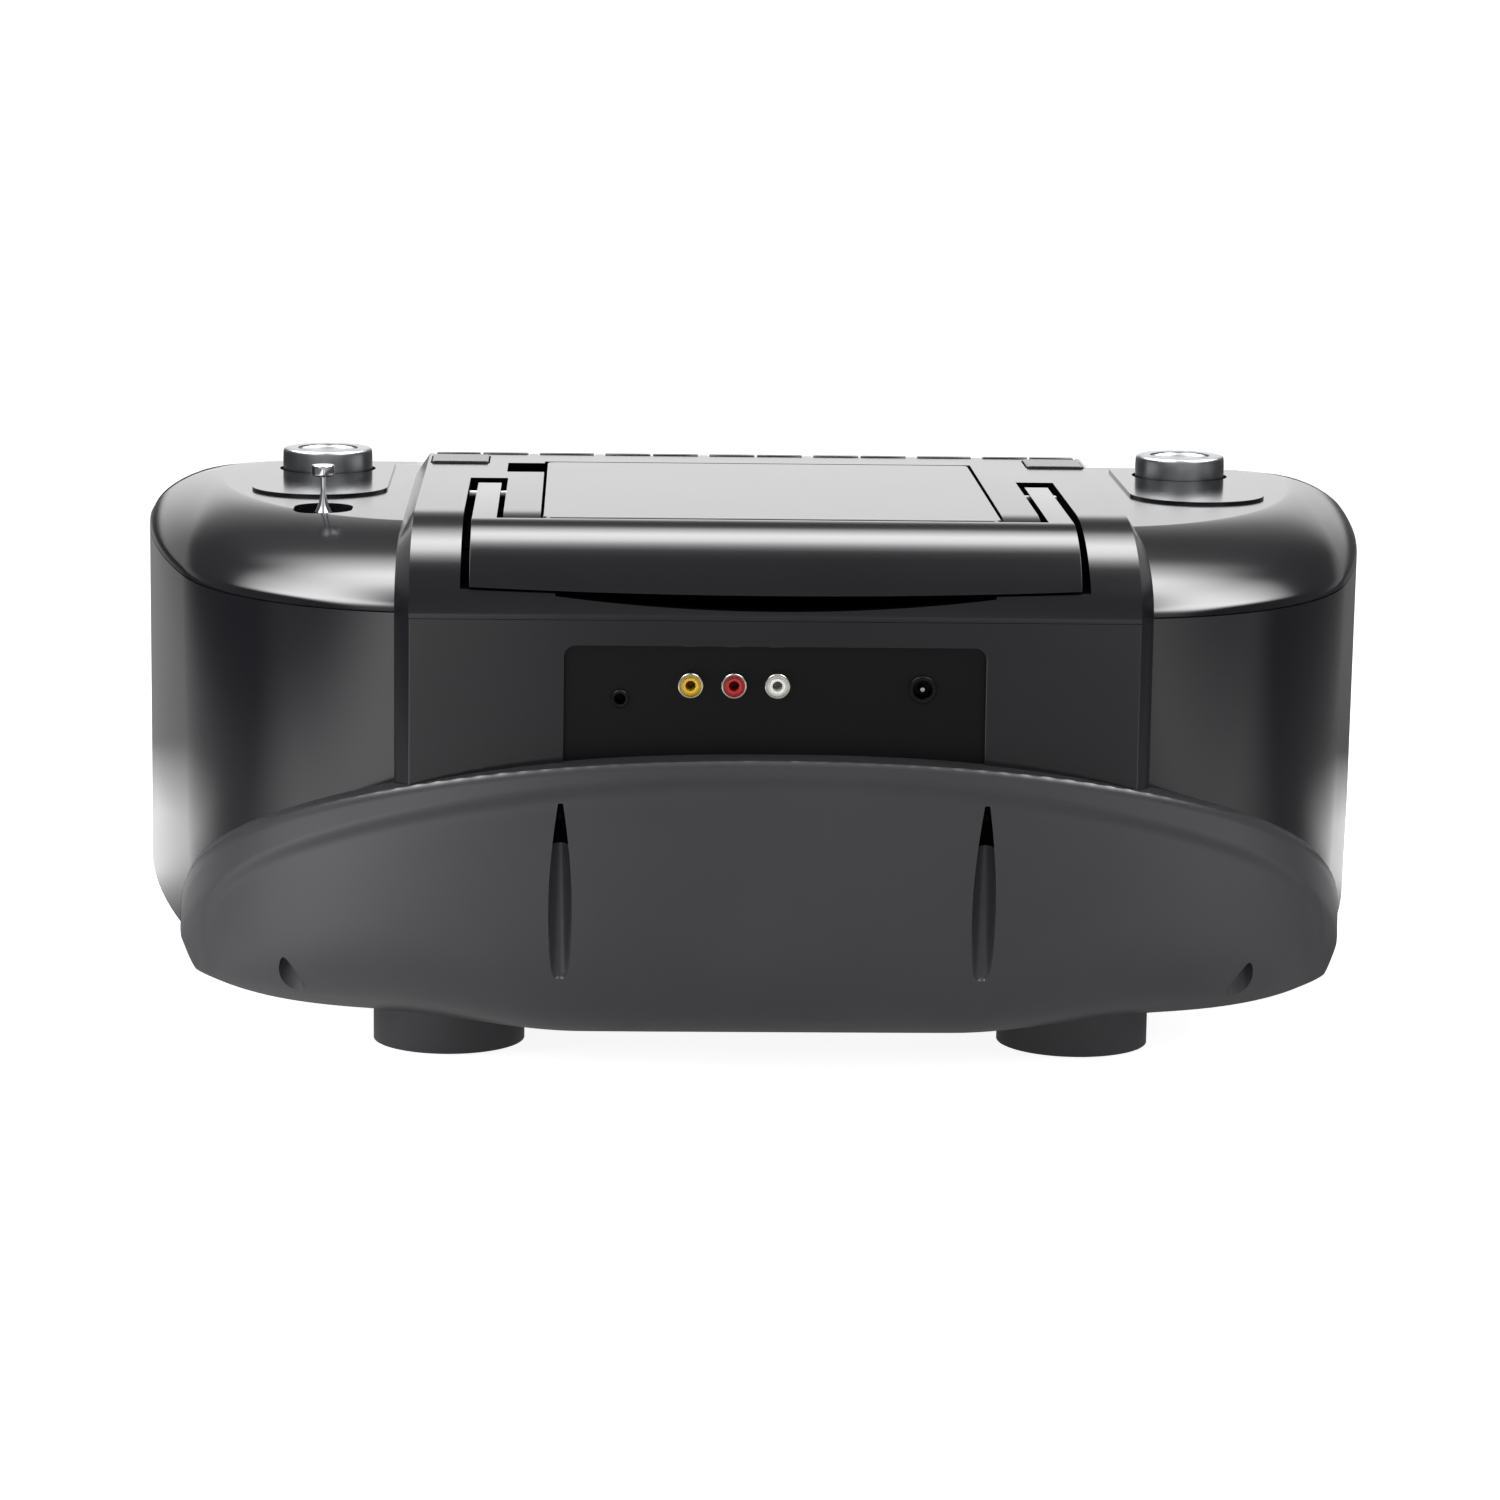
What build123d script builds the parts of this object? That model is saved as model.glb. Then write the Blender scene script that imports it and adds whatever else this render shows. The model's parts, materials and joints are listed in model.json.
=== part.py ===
from build123d import *
import math
import os

# Karaoke machine with a top-loading disc compartment.
# Millimetres. +Z is up, the front looks along -Y and the jack side along +Y.
# The origin is on the floor under the middle of the machine.
# A distance called "_D" is measured forward from the flat rear face of the cabinet.

# ---- Overall ----
BODY_DEPTH = 263.0
RIM_BULGE = 11.0
REAR_Y = BODY_DEPTH / 2 - RIM_BULGE
FRONT_D = BODY_DEPTH - RIM_BULGE
WALL = 2.5
SEAM_Z = 160.5
BASE_TOP_Z = 33.0
FIT = 0.3
SPLIT_D = 239.5

# ---- Speaker pods: the two rounded ends ----
POD_INNER_X = 118.0
POD_CENTRE_X = 112.0
POD_REACH_X = 93.5
POD_REACH_D = 119.5
POD_CENTRE_D = 131.0
POD_FLARE = 0.165
POD_CORNER_R = 16.0
POD_TUCK = 3.0
POD_TUCK_Z = 70.0
POD_FLOOR_LAP = 6.0
DECK_Z = 181.3
DECK_REACH_X = 84.0
DECK_REACH_D = 141.0
DECK_CENTRE_D = 225.0
DECK_FLARE = 0.1
DECK_CORNER_R = 30.0
DECK_FRONT_SET = 2.0
DOME_STEPS = 6

# ---- Centre section: stands above and behind the pods ----
CENTRE_HALF = 119.6
STEP_WIDTH = 5.1
STEP_DEPTH = 10.5
TOP_Z = 189.0
SHOULDER_D = 36.0
SHOULDER_Z = 163.0
TOP_FRONT_D = 214.5
FASCIA_Z = 152.0

# ---- Base: a tray whose rear wall rises like a canoe behind the cabinet ----
BASE_HALF = POD_CENTRE_X + POD_REACH_X - POD_TUCK
BASE_Z = 10.0
CREST_RISE = 79.0
CREST_FOOT_Z = 33.0
CREST_POWER = 2.36
END_LIP = 3.0
RIM_REACH_D = 115.0
RIM_POWER_X = 4.1
RIM_POWER_D = 1.6
RIM_WIDTH = 11.0
RIM_ROUND_D = 7.0
LEAN = 0.135
LOWER_Z = 45.0
LOWER_END_D = 85.0
SIDE_LIFT = 17.0
SIDE_LIFT_POWER = 7.0
BASE_STATIONS = 9
BASE_FRONT_SET = 1.0
CANOE_END_D = 118.0

# ---- Feet ----
FOOT_X = 108.6
FOOT_REAR_D = 84.0
FOOT_FRONT_D = 205.0
FOOT_R = 26.2
FOOT_TOP_Z = 31.0
PAD_R = 22.0
PAD_THICK = 2.0
PAD_PROUD = 0.6

# ---- Carry handle ----
HANDLE_HALF = 100.0
HANDLE_SIDE_GAP = 3.0
HANDLE_THICK = 10.0
HANDLE_END_Z = 170.8
HANDLE_MID_Z = 168.7
HANDLE_UNDER_GAP = 0.8
ARM_WIDTH = 8.2
ARM_THICK = 9.0
ARM_PIVOT_D = 128.0
ARM_SIDE_GAP = 2.0
SLOT_FRONT_D = 142.0
GRIP_HALF = 72.0
GRIP_END_Z = 168.0
GRIP_MID_Z = 163.6
GRIP_DEPTH = 16.0
HANDLE_FLOOR_GAP = 1.5
PIVOT_R = 1.75
RUN_FIT = 0.05

# ---- Disc lid and disc well ----
LID_HALF = 76.5
LID_REAR_D = 38.5
LID_FRONT_D = 190.0
LID_GAP = 0.8
LID_REAR_GAP = 2.5
LID_THICK = 3.0
LID_CORNER_R = 3.0
LEDGE_DROP = 9.5
HINGE_D = 43.3
HINGE_Z = 184.4
HINGE_PIN_R = 1.5
KNUCKLE_R = 2.8
KNUCKLE_LONG = 8.0
NOTCH_OUTER_X = 90.5
NOTCH_REAR_D = 160.0
NOTCH_FRONT_D = 186.0
NOTCH_DEPTH = 7.0
WELL_R = 63.5
WELL_WALL = 2.0
WELL_DEPTH = 10.0
WELL_LIP = 3.0
HUB_R = 15.0
HUB_THICK = 3.0
SPIGOT_R = 7.4
SPIGOT_TALL = 3.4
HUB_CLEAR = 1.0
SHAFT_R = 1.0
MOTOR_R = 12.0
MOTOR_TALL = 12.0
CHASSIS_DROP = 14.0
CHASSIS_THICK = 1.6
CHASSIS_HALF_X = 46.0
CHASSIS_REAR = 30.0
CHASSIS_FRONT = 66.0
CHASSIS_POST_X = 38.0
CHASSIS_POST_R = 3.0
PICKUP_TRAVEL = 30.0
PICKUP_START = 24.5
PICKUP_LONG = 16.0
PICKUP_WIDE = 34.0
PICKUP_GAP = 1.0
LENS_R = 3.0
LENS_TALL = 3.5
RAIL_R = 1.5
RAIL_SPREAD = 12.0
RAIL_LIFT = 3.5
BRACKET_THICK = 3.0

# ---- Keys ----
KEY_GAP = 4.0
ROCKER_WIDE = 34.3
SINGLE_WIDE = 20.1
KEY_PROUD = 0.8
KEY_SIDE_FIT = 0.5
KEY_REAR_D = 212.0
KEY_FRONT_D = 226.0
KEY_BOTTOM_Z = 169.0
KEY_GROOVE = 0.5
KEY_FLANGE = 1.2
KEY_FLANGE_THICK = 1.5
MODE_KEY_WIDE = 20.4
MODE_KEY_REAR_D = 184.0
MODE_KEY_FRONT_D = 205.0
MODE_KEY_X = 107.9

# ---- Display on the sloping fascia ----
DISPLAY_HALF = 46.0
DISPLAY_START_D = 228.5
DISPLAY_END_D = 238.0
DISPLAY_THICK = 1.4
DISPLAY_LEDGE = 1.6

# ---- Volume knobs ----
KNOB_X = 157.6
KNOB_D = 220.0
KNOB_R = 16.4
KNOB_TOP_Z = 190.0
KNOB_WELL_R = 17.6
KNOB_WELL_Z = 174.0
KNOB_LIFT = 1.2
KNOB_CHAMFER = 1.2
KNOB_DISH_R = 10.0
KNOB_DISH_DEPTH = 1.0
STUB_R = 3.0
POT_R = 12.0
POT_TALL = 14.0
STUB_DEPTH = 9.0
PLATE_R = 24.2
PLATE_REAR_D = 168.0
PLATE_THICK = 1.0
PLATE_FRONT_D = 239.0

# ---- Telescopic antenna ----
ANTENNA_X = 153.5
ANTENNA_D = 115.0
ANTENNA_WELL_LONG = 27.0
ANTENNA_WELL_WIDE = 20.4
ANTENNA_WELL_DEPTH = 11.0
SOCKET_WALL = 1.5
TUBE_R = 3.5
TUBE_WALL = 0.45
TUBE_BOTTOM_Z = 52.0
TUBE_STEP_Z = 3.0
COLLAR_R = 5.0
COLLAR_THICK = 2.0
FLARE_R = 3.0
FLARE_BOTTOM_Z = 180.0
NECK_R = 0.85
NECK_Z = 189.0
CAP_R = 4.0
CAP_Z = 193.2
CAP_TALL = 3.2

# ---- Jack panel ----
PANEL_HALF = 69.0
PANEL_TOP_Z = 151.9
PANEL_BOTTOM_Z = 108.0
PANEL_CORNER_R = 4.0
PANEL_THICK = 2.0
PANEL_MARGIN = 4.0
RCA_Z = 139.4
RCA_X = 13.5
RCA_PITCH = 14.2
RCA_R = 4.15
RCA_WALL = 0.6
RCA_PIN_R = 1.7
RCA_PROUD = 5.0
RCA_BODY_DEEP = 10.0
AUX_X = 50.7
AUX_Z = 134.2
AUX_R = 3.0
AUX_BORE_R = 1.8
AUX_DEEP = 12.0
POWER_X = -48.4
POWER_Z = 137.9
POWER_R = 4.6
POWER_BORE_R = 3.1
POWER_PIN_R = 1.0
POWER_DEEP = 12.0
JACK_PROUD = 1.2
BOARD_THICK = 1.6

# ---- Screws ----
SLOT_SCREW_X = 69.8
CHANNEL_R = 4.35
CHANNEL_D = -5.6
CHANNEL_TOP_Z = 98.0
LUG_WIDE = 10.0
LUG_DEEP = 10.5
SCREW_SHIFT = 1.7
LUG_TALL = 9.0
SIDE_SCREW_X = 163.0
SIDE_SCREW_D = 58.0
SIDE_HOLE_R = 3.6
SIDE_HOLE_TOP_Z = 38.0
BOSS_WALL = 1.6
SCREW_HEAD_R = 2.4
SCREW_HEAD_TALL = 2.2
SCREW_R = 1.5
SCREW_LONG = 12.0

# ---- Front ----
SPEAKER_X = 148.0
SPEAKER_Z = 94.0
SPEAKER_R = 47.0
GRILLE_THICK = 1.2
GRILLE_FIT = 0.3
GRILLE_DOME = 1.1
GRILLE_RINGS = 6
GRILLE_HOLE_R = 2.2
GRILLE_PITCH = 6.6
BASKET_LIP = 2.5
BASKET_RIM = 3.0
BASKET_DEEP = 26.0
BASKET_WALL = 1.6
BASKET_LEDGE = 2.5
CONE_WALL = 1.2
CONE_FIT = 0.6
VOICE_R = 13.0
MAGNET_R = 27.0
MAGNET_TALL = 14.0
BAY_HALF = 80.0
BAY_DEEP = 9.0
BAY_LOW_Z = 46.0
BAY_TOP_Z = 147.0
MIC_X = 30.0
MIC_Z = 62.0
MIC_R = 7.5
MIC_BORE_R = 3.25
MIC_DEEP = 24.0
MIC_PROUD = 3.0
MIC_KNOB_Z = 104.0
MIC_KNOB_R = 9.5
MIC_KNOB_PROUD = 8.5
MIC_KNOB_LIFT = 0.6
MIC_STUB_R = 3.0
MIC_STUB_LONG = 8.0
POWER_KEY_Z = 134.0
POWER_KEY_R = 7.0
POWER_KEY_PROUD = 2.5
POWER_KEY_TRAVEL = 1.5
POWER_KEY_DEEP = 9.0

# ---- Boards ----
MAIN_HALF_X = 55.0
MAIN_HALF_D = 42.0
MAIN_D = 140.0
MAIN_Z = 30.0
POST_R = 3.5
POST_X = 46.0
POST_D = 34.0
KEY_BOARD_Z = 163.0
KEY_BOARD_REAR_D = 186.0
KEY_BOARD_FRONT_D = 227.0
SWITCH_TALL = 3.0
KEY_POST_X = 60.0
KEY_POST_D = 201.0
KEY_POST_R = 2.6

# ---- Places that follow from the sizes above ----
CABINET_REACH = POD_CENTRE_X + POD_REACH_X + POD_FLARE * POD_REACH_D + WALL
LID_CENTRE_D = (LID_REAR_D + LID_FRONT_D) / 2
WELL_FLOOR_Z = TOP_Z - LEDGE_DROP - WALL - WELL_DEPTH
CHASSIS_Z = WELL_FLOOR_Z - WELL_WALL - CHASSIS_DROP
KEY_ROW_D = (KEY_REAR_D + KEY_FRONT_D) / 2
POT_TOP_Z = KNOB_WELL_Z - WALL
JACK_BOARD_D = WALL + AUX_DEEP


def back(d):
    """Y of a point d millimetres forward of the flat rear face."""
    return REAR_Y - d


def mix(a, b, t):
    return a + (b - a) * t


def block(x0, x1, d0, d1, z0, z1):
    """A box between two X, two distances forward and two heights."""
    return Pos((x0 + x1) / 2, back((d0 + d1) / 2), (z0 + z1) / 2) * Box(x1 - x0, d1 - d0, z1 - z0)


def upright(x, d, z0, z1, radius):
    """A vertical cylinder from z0 to z1."""
    return Pos(x, back(d), (z0 + z1) / 2) * Cylinder(radius, z1 - z0)


def rod_x(x0, x1, d, z, radius):
    """A cylinder along X."""
    return Pos((x0 + x1) / 2, back(d), z) * Rot(0, 90, 0) * Cylinder(radius, x1 - x0)


def rod_y(x, d0, d1, z, radius):
    """A cylinder along Y."""
    return Pos(x, back((d0 + d1) / 2), z) * Rot(90, 0, 0) * Cylinder(radius, d1 - d0)


def cone_y(x, d0, d1, z, radius0, radius1):
    """A cone along Y: radius0 at d0 and radius1 at d1."""
    return Pos(x, back((d0 + d1) / 2), z) * Rot(-90, 0, 0) * Cone(radius1, radius0, d1 - d0)


def both_sides(solid):
    """The solid and its mirror image across the middle plane."""
    return solid + mirror(solid, about=Plane.YZ)


def along_x(profile, x0, x1):
    """A closed profile in the YZ plane carried from x0 to x1."""
    return extrude(Plane.YZ.offset(x0) * profile, x1 - x0)


# ---- Cabinet ----

def pod_outline(z, rise, inset, tuck):
    """Plan outline of the right pod: part of an ellipse behind, a side that flares towards
    the front, then a rounded corner. rise goes from 0 at the seam to 1 at the deck."""
    reach_x = mix(POD_REACH_X, DECK_REACH_X, rise) - inset - tuck
    reach_d = mix(POD_REACH_D, DECK_REACH_D, rise) - inset - tuck
    flare = mix(POD_FLARE, DECK_FLARE, rise) + tuck / POD_REACH_D
    corner = mix(POD_CORNER_R, DECK_CORNER_R, rise) - inset
    centre_y = back(mix(POD_CENTRE_D, DECK_CENTRE_D, rise))
    front_y = back(FRONT_D - inset - DECK_FRONT_SET * rise)
    inner_x = POD_INNER_X + inset
    start = math.degrees(math.atan(flare * reach_d / reach_x))
    sweep = math.degrees(math.acos((inner_x - POD_CENTRE_X) / reach_x)) - start
    rear = EllipticalCenterArc((POD_CENTRE_X, centre_y), reach_x, reach_d, start, arc_size=sweep)
    side = rear @ 0
    bend_y = front_y + corner
    bend_x = side.X + flare * (side.Y - bend_y) - corner * math.sqrt(1 + flare * flare)
    bend = CenterArc((bend_x, bend_y), corner, 270, 90 + math.degrees(math.atan(flare)))
    edges = [
        rear,
        Line(rear @ 1, (inner_x, front_y)),
        Line((inner_x, front_y), bend @ 0),
        bend,
        Line(bend @ 1, rear @ 0),
    ]
    return Pos(0, 0, z) * make_face(edges)


def pod_block(inset):
    """The right pod as a solid, inset from its outer surface: walls, then the dome to the deck."""
    walls = loft([
        pod_outline(BASE_TOP_Z, 0, inset, POD_TUCK),
        pod_outline(POD_TUCK_Z, 0, inset, POD_TUCK / 3),
        pod_outline(SEAM_Z, 0, inset, 0),
    ])
    rises = []
    for step in range(DOME_STEPS):
        angle = math.pi / 2 * step / (DOME_STEPS - 1)
        rises.append((math.sin(angle), 1 - math.cos(angle)))
    dome = loft([
        pod_outline(mix(SEAM_Z, DECK_Z - inset, lift), rise, inset, 0) for lift, rise in rises
    ])
    return walls + dome


def centre_profile(setback, drop, inset):
    """Side outline of the centre section: rounded rear shoulder, flat top, sloping fascia."""
    rear_y = back(setback + inset)
    top = TOP_Z - drop - inset
    steep = (TOP_Z - FASCIA_Z) / (FRONT_D - TOP_FRONT_D)
    shift = inset * math.sqrt(1 + steep * steep) + drop
    front_d = FRONT_D - inset
    edge_d = TOP_FRONT_D + (TOP_Z - shift - top) / steep
    nose_z = TOP_Z - shift - steep * (front_d - TOP_FRONT_D)
    centre = (back(SHOULDER_D), SHOULDER_Z)
    shoulder = EllipticalCenterArc(centre, rear_y - back(SHOULDER_D), top - SHOULDER_Z, 0, arc_size=90)
    edges = [
        Line((rear_y, BASE_TOP_Z), shoulder @ 0),
        shoulder,
        Line(shoulder @ 1, (back(edge_d), top)),
        Line((back(edge_d), top), (back(front_d), nose_z)),
        Line((back(front_d), nose_z), (back(front_d), BASE_TOP_Z)),
        Line((back(front_d), BASE_TOP_Z), (rear_y, BASE_TOP_Z)),
    ]
    return make_face(edges)


def centre_block(inset):
    """The centre section with its bevelled step down to each pod."""
    full = centre_profile(0, 0, inset)
    low = centre_profile(STEP_DEPTH, TOP_Z - DECK_Z, inset)
    body = along_x(full, -CENTRE_HALF, CENTRE_HALF)
    bevel = loft([
        Plane.YZ.offset(CENTRE_HALF) * full,
        Plane.YZ.offset(CENTRE_HALF + STEP_WIDTH - inset) * low,
    ], ruled=True)
    return body + both_sides(bevel)


def cabinet_block(inset):
    """The whole cabinet above the base as one solid, inset from its outer surface."""
    return centre_block(inset) + both_sides(pod_block(inset))


def pod_floors():
    """The strips of floor under the pods where they hang out past the base."""
    return both_sides(block(BASE_HALF - POD_FLOOR_LAP, CABINET_REACH, CANOE_END_D, FRONT_D,
                            BASE_TOP_Z, BASE_TOP_Z + WALL))


# ---- Base ----

def crest_height(x, narrow):
    """Height of the canoe's crest above the base top, a superellipse across the width."""
    share = min(abs(x) / (BASE_HALF - narrow), 1)
    return (CREST_RISE - narrow) * (1 - share ** CREST_POWER) ** (1 / CREST_POWER)


def rim_y(x):
    """Y of the rim's outermost line: nearly straight behind the centre, curving in at the ends."""
    share = min(abs(x) / (BASE_HALF + 1), 1)
    return REAR_Y + RIM_BULGE - RIM_REACH_D * (1 - (1 - share ** RIM_POWER_X) ** (1 / RIM_POWER_D))


def base_profile(x, inset):
    """Outline of the base across its depth at x, with the rounded rim and the lower scoop."""
    crest_z = CREST_FOOT_Z + 4 + crest_height(x, 0) - inset
    face_z = max(CREST_FOOT_Z + 1 + crest_height(x, RIM_WIDTH) - inset, CREST_FOOT_Z - 2)
    side = abs(x) / BASE_HALF
    bottom_z = BASE_Z + SIDE_LIFT * side ** SIDE_LIFT_POWER + inset
    lower_z = min(LOWER_Z, face_z - 2)
    face_y = rim_y(x) - inset
    lower_y = face_y - LEAN * (face_z - lower_z)
    run_y = min(back(LOWER_END_D), lower_y - 12)
    full = max(0.0, min(1.0, (CENTRE_HALF - abs(x)) / (CENTRE_HALF - SLOT_SCREW_X)))
    pull = (mix((lower_y + run_y) / 2, lower_y, full), mix((lower_z + bottom_z) / 2, bottom_z, full))
    corner = max(0.0, abs(x) - (BASE_HALF - POD_CORNER_R)) / 2
    front_y = back(FRONT_D - BASE_FRONT_SET - inset - corner)
    rim_end = (face_y - RIM_ROUND_D, crest_z)
    edges = [
        Line((front_y, bottom_z), (run_y, bottom_z)),
        Bezier((run_y, bottom_z), pull, (lower_y, lower_z)),
        Line((lower_y, lower_z), (face_y, face_z)),
        Bezier((face_y, face_z), (face_y, crest_z), rim_end),
        Line(rim_end, (front_y, crest_z)),
        Line((front_y, crest_z), (front_y, bottom_z)),
    ]
    return make_face(edges)


def base_block(inset):
    """The base as a solid up to its crest, lofted across the width."""
    half = BASE_HALF - inset
    sections = []
    for step in range(-BASE_STATIONS, BASE_STATIONS + 1):
        x = half * math.sin(math.pi / 2 * step / BASE_STATIONS)
        sections.append(Plane.YZ.offset(x) * base_profile(x, inset))
    return loft(sections)


def under_ledge():
    """Everything lower than the canoe's rear face, as a prism as deep as the canoe."""
    reach = BASE_HALF + WALL
    points = [(reach, 0), (-reach, 0), (-reach, CREST_FOOT_Z)]
    for step in range(-2 * BASE_STATIONS, 2 * BASE_STATIONS + 1):
        x = BASE_HALF * math.sin(math.pi / 4 * step / BASE_STATIONS)
        points.append((x, CREST_FOOT_Z + max(crest_height(x, RIM_WIDTH), END_LIP)))
    points.append((reach, CREST_FOOT_Z))
    outline = make_face(Polyline(*points, close=True))
    return extrude(Plane.XZ.offset(-REAR_Y - 2 * RIM_BULGE) * outline, CANOE_END_D + 2 * RIM_BULGE)


def screw_places():
    """X, hole's distance forward, screw's distance forward, radius and top of each screw hole."""
    places = []
    for side in (-1, 1):
        channel_x = side * SLOT_SCREW_X
        places.append((channel_x, CHANNEL_D, CHANNEL_D + SCREW_SHIFT, CHANNEL_R, CHANNEL_TOP_Z))
        places.append((side * SIDE_SCREW_X, SIDE_SCREW_D, SIDE_SCREW_D, SIDE_HOLE_R, SIDE_HOLE_TOP_Z))
    return places


def make_base_shell():
    """A hollow tray with the canoe behind it, screw channels and the main board's posts."""
    solid = base_block(0)
    shell = solid - base_block(WALL)
    reach = BASE_HALF + WALL
    shell -= block(-reach, reach, CANOE_END_D, FRONT_D + WALL, BASE_TOP_Z, TOP_Z)
    for x, d, screw_d, radius, top in screw_places():
        shell += upright(x, d, 0, top + BOSS_WALL, radius + BOSS_WALL) & solid
    shell -= cabinet_block(-FIT) - under_ledge()
    for x in (-POST_X, POST_X):
        for d in (MAIN_D - POST_D, MAIN_D + POST_D):
            shell += upright(x, d, BASE_Z + WALL / 2, MAIN_Z, POST_R)
    for x, d, screw_d, radius, top in screw_places():
        shell -= upright(x, d, 0, top, radius)
        shell -= upright(x, screw_d, 0, top + SCREW_LONG, SCREW_R)
    return shell


def make_feet():
    """Four round feet that meet the base's curved underside."""
    feet = {}
    solid = base_block(0)
    for row, d in (("rear", FOOT_REAR_D), ("front", FOOT_FRONT_D)):
        for side, x in (("left", -FOOT_X), ("right", FOOT_X)):
            foot = upright(x, d, PAD_PROUD, FOOT_TOP_Z, FOOT_R) - solid
            feet[f"foot_{row}_{side}"] = foot - upright(x, d, 0, PAD_THICK, PAD_R)
    return feet


def make_foot_pads():
    pads = []
    for d in (FOOT_REAR_D, FOOT_FRONT_D):
        for x in (-FOOT_X, FOOT_X):
            pads.append(upright(x, d, 0, PAD_THICK, PAD_R))
    return Compound(children=pads)


# ---- Casings above the base ----

def bowed_slab(half, end_z, mid_z, d0, d1):
    """Everything above a line that bows down in the middle, as a slab from d0 to d1."""
    top = TOP_Z + WALL
    edges = [
        ThreePointArc((-half, end_z), (0, mid_z), (half, end_z)),
        Line((half, end_z), (half, top)),
        Line((half, top), (-half, top)),
        Line((-half, top), (-half, end_z)),
    ]
    return extrude(Plane.XZ.offset(-back(d1)) * make_face(edges), -(d1 - d0))


def handle_pocket(grow):
    """The hollow that the folded handle's bar lies in."""
    half = HANDLE_HALF + HANDLE_SIDE_GAP + grow
    drop = HANDLE_UNDER_GAP + grow
    slab = bowed_slab(half, HANDLE_END_Z - drop, HANDLE_MID_Z - drop, -WALL, LID_REAR_D + grow)
    inner = centre_profile(0, 0, HANDLE_THICK + HANDLE_FLOOR_GAP + grow)
    return slab - along_x(inner, -half - 1, half + 1)


def grip_pocket(grow):
    """The finger hollow under and behind the bar."""
    half = GRIP_HALF + grow
    slab = bowed_slab(half, GRIP_END_Z - grow, GRIP_MID_Z - grow, -WALL, GRIP_DEPTH + grow)
    return slab & block(-half, half, -WALL, GRIP_DEPTH + grow, SEAM_Z, HANDLE_END_Z + grow)


def shell_pockets(grow):
    """Every hollow with walls of its own in the top shell."""
    roof = TOP_Z + WALL
    outer = HANDLE_HALF + HANDLE_SIDE_GAP + grow
    inner = HANDLE_HALF - ARM_WIDTH - ARM_SIDE_GAP - grow
    floor = TOP_Z - ARM_THICK - HANDLE_FLOOR_GAP - grow
    lid_half = LID_HALF + LID_GAP + grow
    lid_floor = TOP_Z - LEDGE_DROP - grow
    front = LID_FRONT_D + LID_GAP + grow
    knob_floor = KNOB_WELL_Z - grow
    pockets = handle_pocket(grow) + grip_pocket(grow)
    pockets += both_sides(block(inner, outer, SHOULDER_D - 1, SLOT_FRONT_D + grow, floor, roof))
    pockets += block(-lid_half, lid_half, LID_REAR_D - LID_REAR_GAP - grow, front, lid_floor, roof)
    pockets += block(LID_HALF, NOTCH_OUTER_X + grow, NOTCH_REAR_D - grow, NOTCH_FRONT_D + grow,
                     TOP_Z - NOTCH_DEPTH - grow, roof)
    pockets += both_sides(upright(KNOB_X, KNOB_D, knob_floor, roof, KNOB_WELL_R + grow))
    return pockets


def front_keys():
    """Left edge and width of each key in the front row."""
    widths = [ROCKER_WIDE, SINGLE_WIDE, ROCKER_WIDE, ROCKER_WIDE, ROCKER_WIDE, SINGLE_WIDE, ROCKER_WIDE]
    x = -(sum(widths) + KEY_GAP * (len(widths) - 1)) / 2
    keys = []
    for width in widths:
        keys.append((x, width))
        x += width + KEY_GAP
    return keys


def key_holes():
    fit = KEY_SIDE_FIT
    roof = TOP_Z + WALL
    holes = []
    for x, width in front_keys():
        holes.append(block(x - fit, x + width + fit, KEY_REAR_D - fit, KEY_FRONT_D + fit, SEAM_Z, roof))
    half = MODE_KEY_WIDE / 2 + fit
    for x in (-MODE_KEY_X, MODE_KEY_X):
        holes.append(block(x - half, x + half, MODE_KEY_REAR_D - fit, MODE_KEY_FRONT_D + fit, SEAM_Z, roof))
    return holes


def fascia_skin(outer, inner, half, d0, d1):
    """A plate in the sloping fascia between two depths below its surface."""
    reach = half + 1
    skin = along_x(centre_profile(0, 0, outer), -reach, reach)
    skin -= along_x(centre_profile(0, 0, inner), -reach, reach)
    return skin & block(-half, half, d0, d1, SEAM_Z, TOP_Z)


def oval(long, wide, z0, z1):
    """An upright oval prism at the antenna, longer from front to back."""
    return Pos(ANTENNA_X, back(ANTENNA_D), z0) * extrude(SlotOverall(long, wide, rotation=90), z1 - z0)


def make_top_shell(outer, inner):
    """Roof of the machine, with hollows for handle, lid and knobs and holes for the keys."""
    shell = (outer - shell_pockets(0)) - (inner - shell_pockets(WALL))
    shell &= block(-CABINET_REACH, CABINET_REACH, -WALL, SPLIT_D, SEAM_Z, TOP_Z + WALL)
    for hole in key_holes():
        shell -= hole
    ledge = DISPLAY_LEDGE
    shell -= fascia_skin(-WALL, DISPLAY_THICK, DISPLAY_HALF + FIT, DISPLAY_START_D, DISPLAY_END_D)
    shell -= fascia_skin(-WALL, 2 * WALL, DISPLAY_HALF - ledge, DISPLAY_START_D + ledge,
                         DISPLAY_END_D - ledge)
    lid_floor = TOP_Z - LEDGE_DROP
    shell -= upright(0, LID_CENTRE_D, lid_floor - 2 * WALL, TOP_Z, WELL_R)
    shell -= both_sides(upright(KNOB_X, KNOB_D, SEAM_Z, TOP_Z, STUB_R + KNOB_LIFT))
    shell -= oval(ANTENNA_WELL_LONG, ANTENNA_WELL_WIDE, SEAM_Z, TOP_Z)
    for x in (-KEY_POST_X, KEY_POST_X):
        shell += upright(x, KEY_POST_D, KEY_BOARD_Z + BOARD_THICK, TOP_Z - WALL / 2, KEY_POST_R)
    shell -= both_sides(hinge_pin())
    shell -= both_sides(handle_pin())
    return shell


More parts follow.
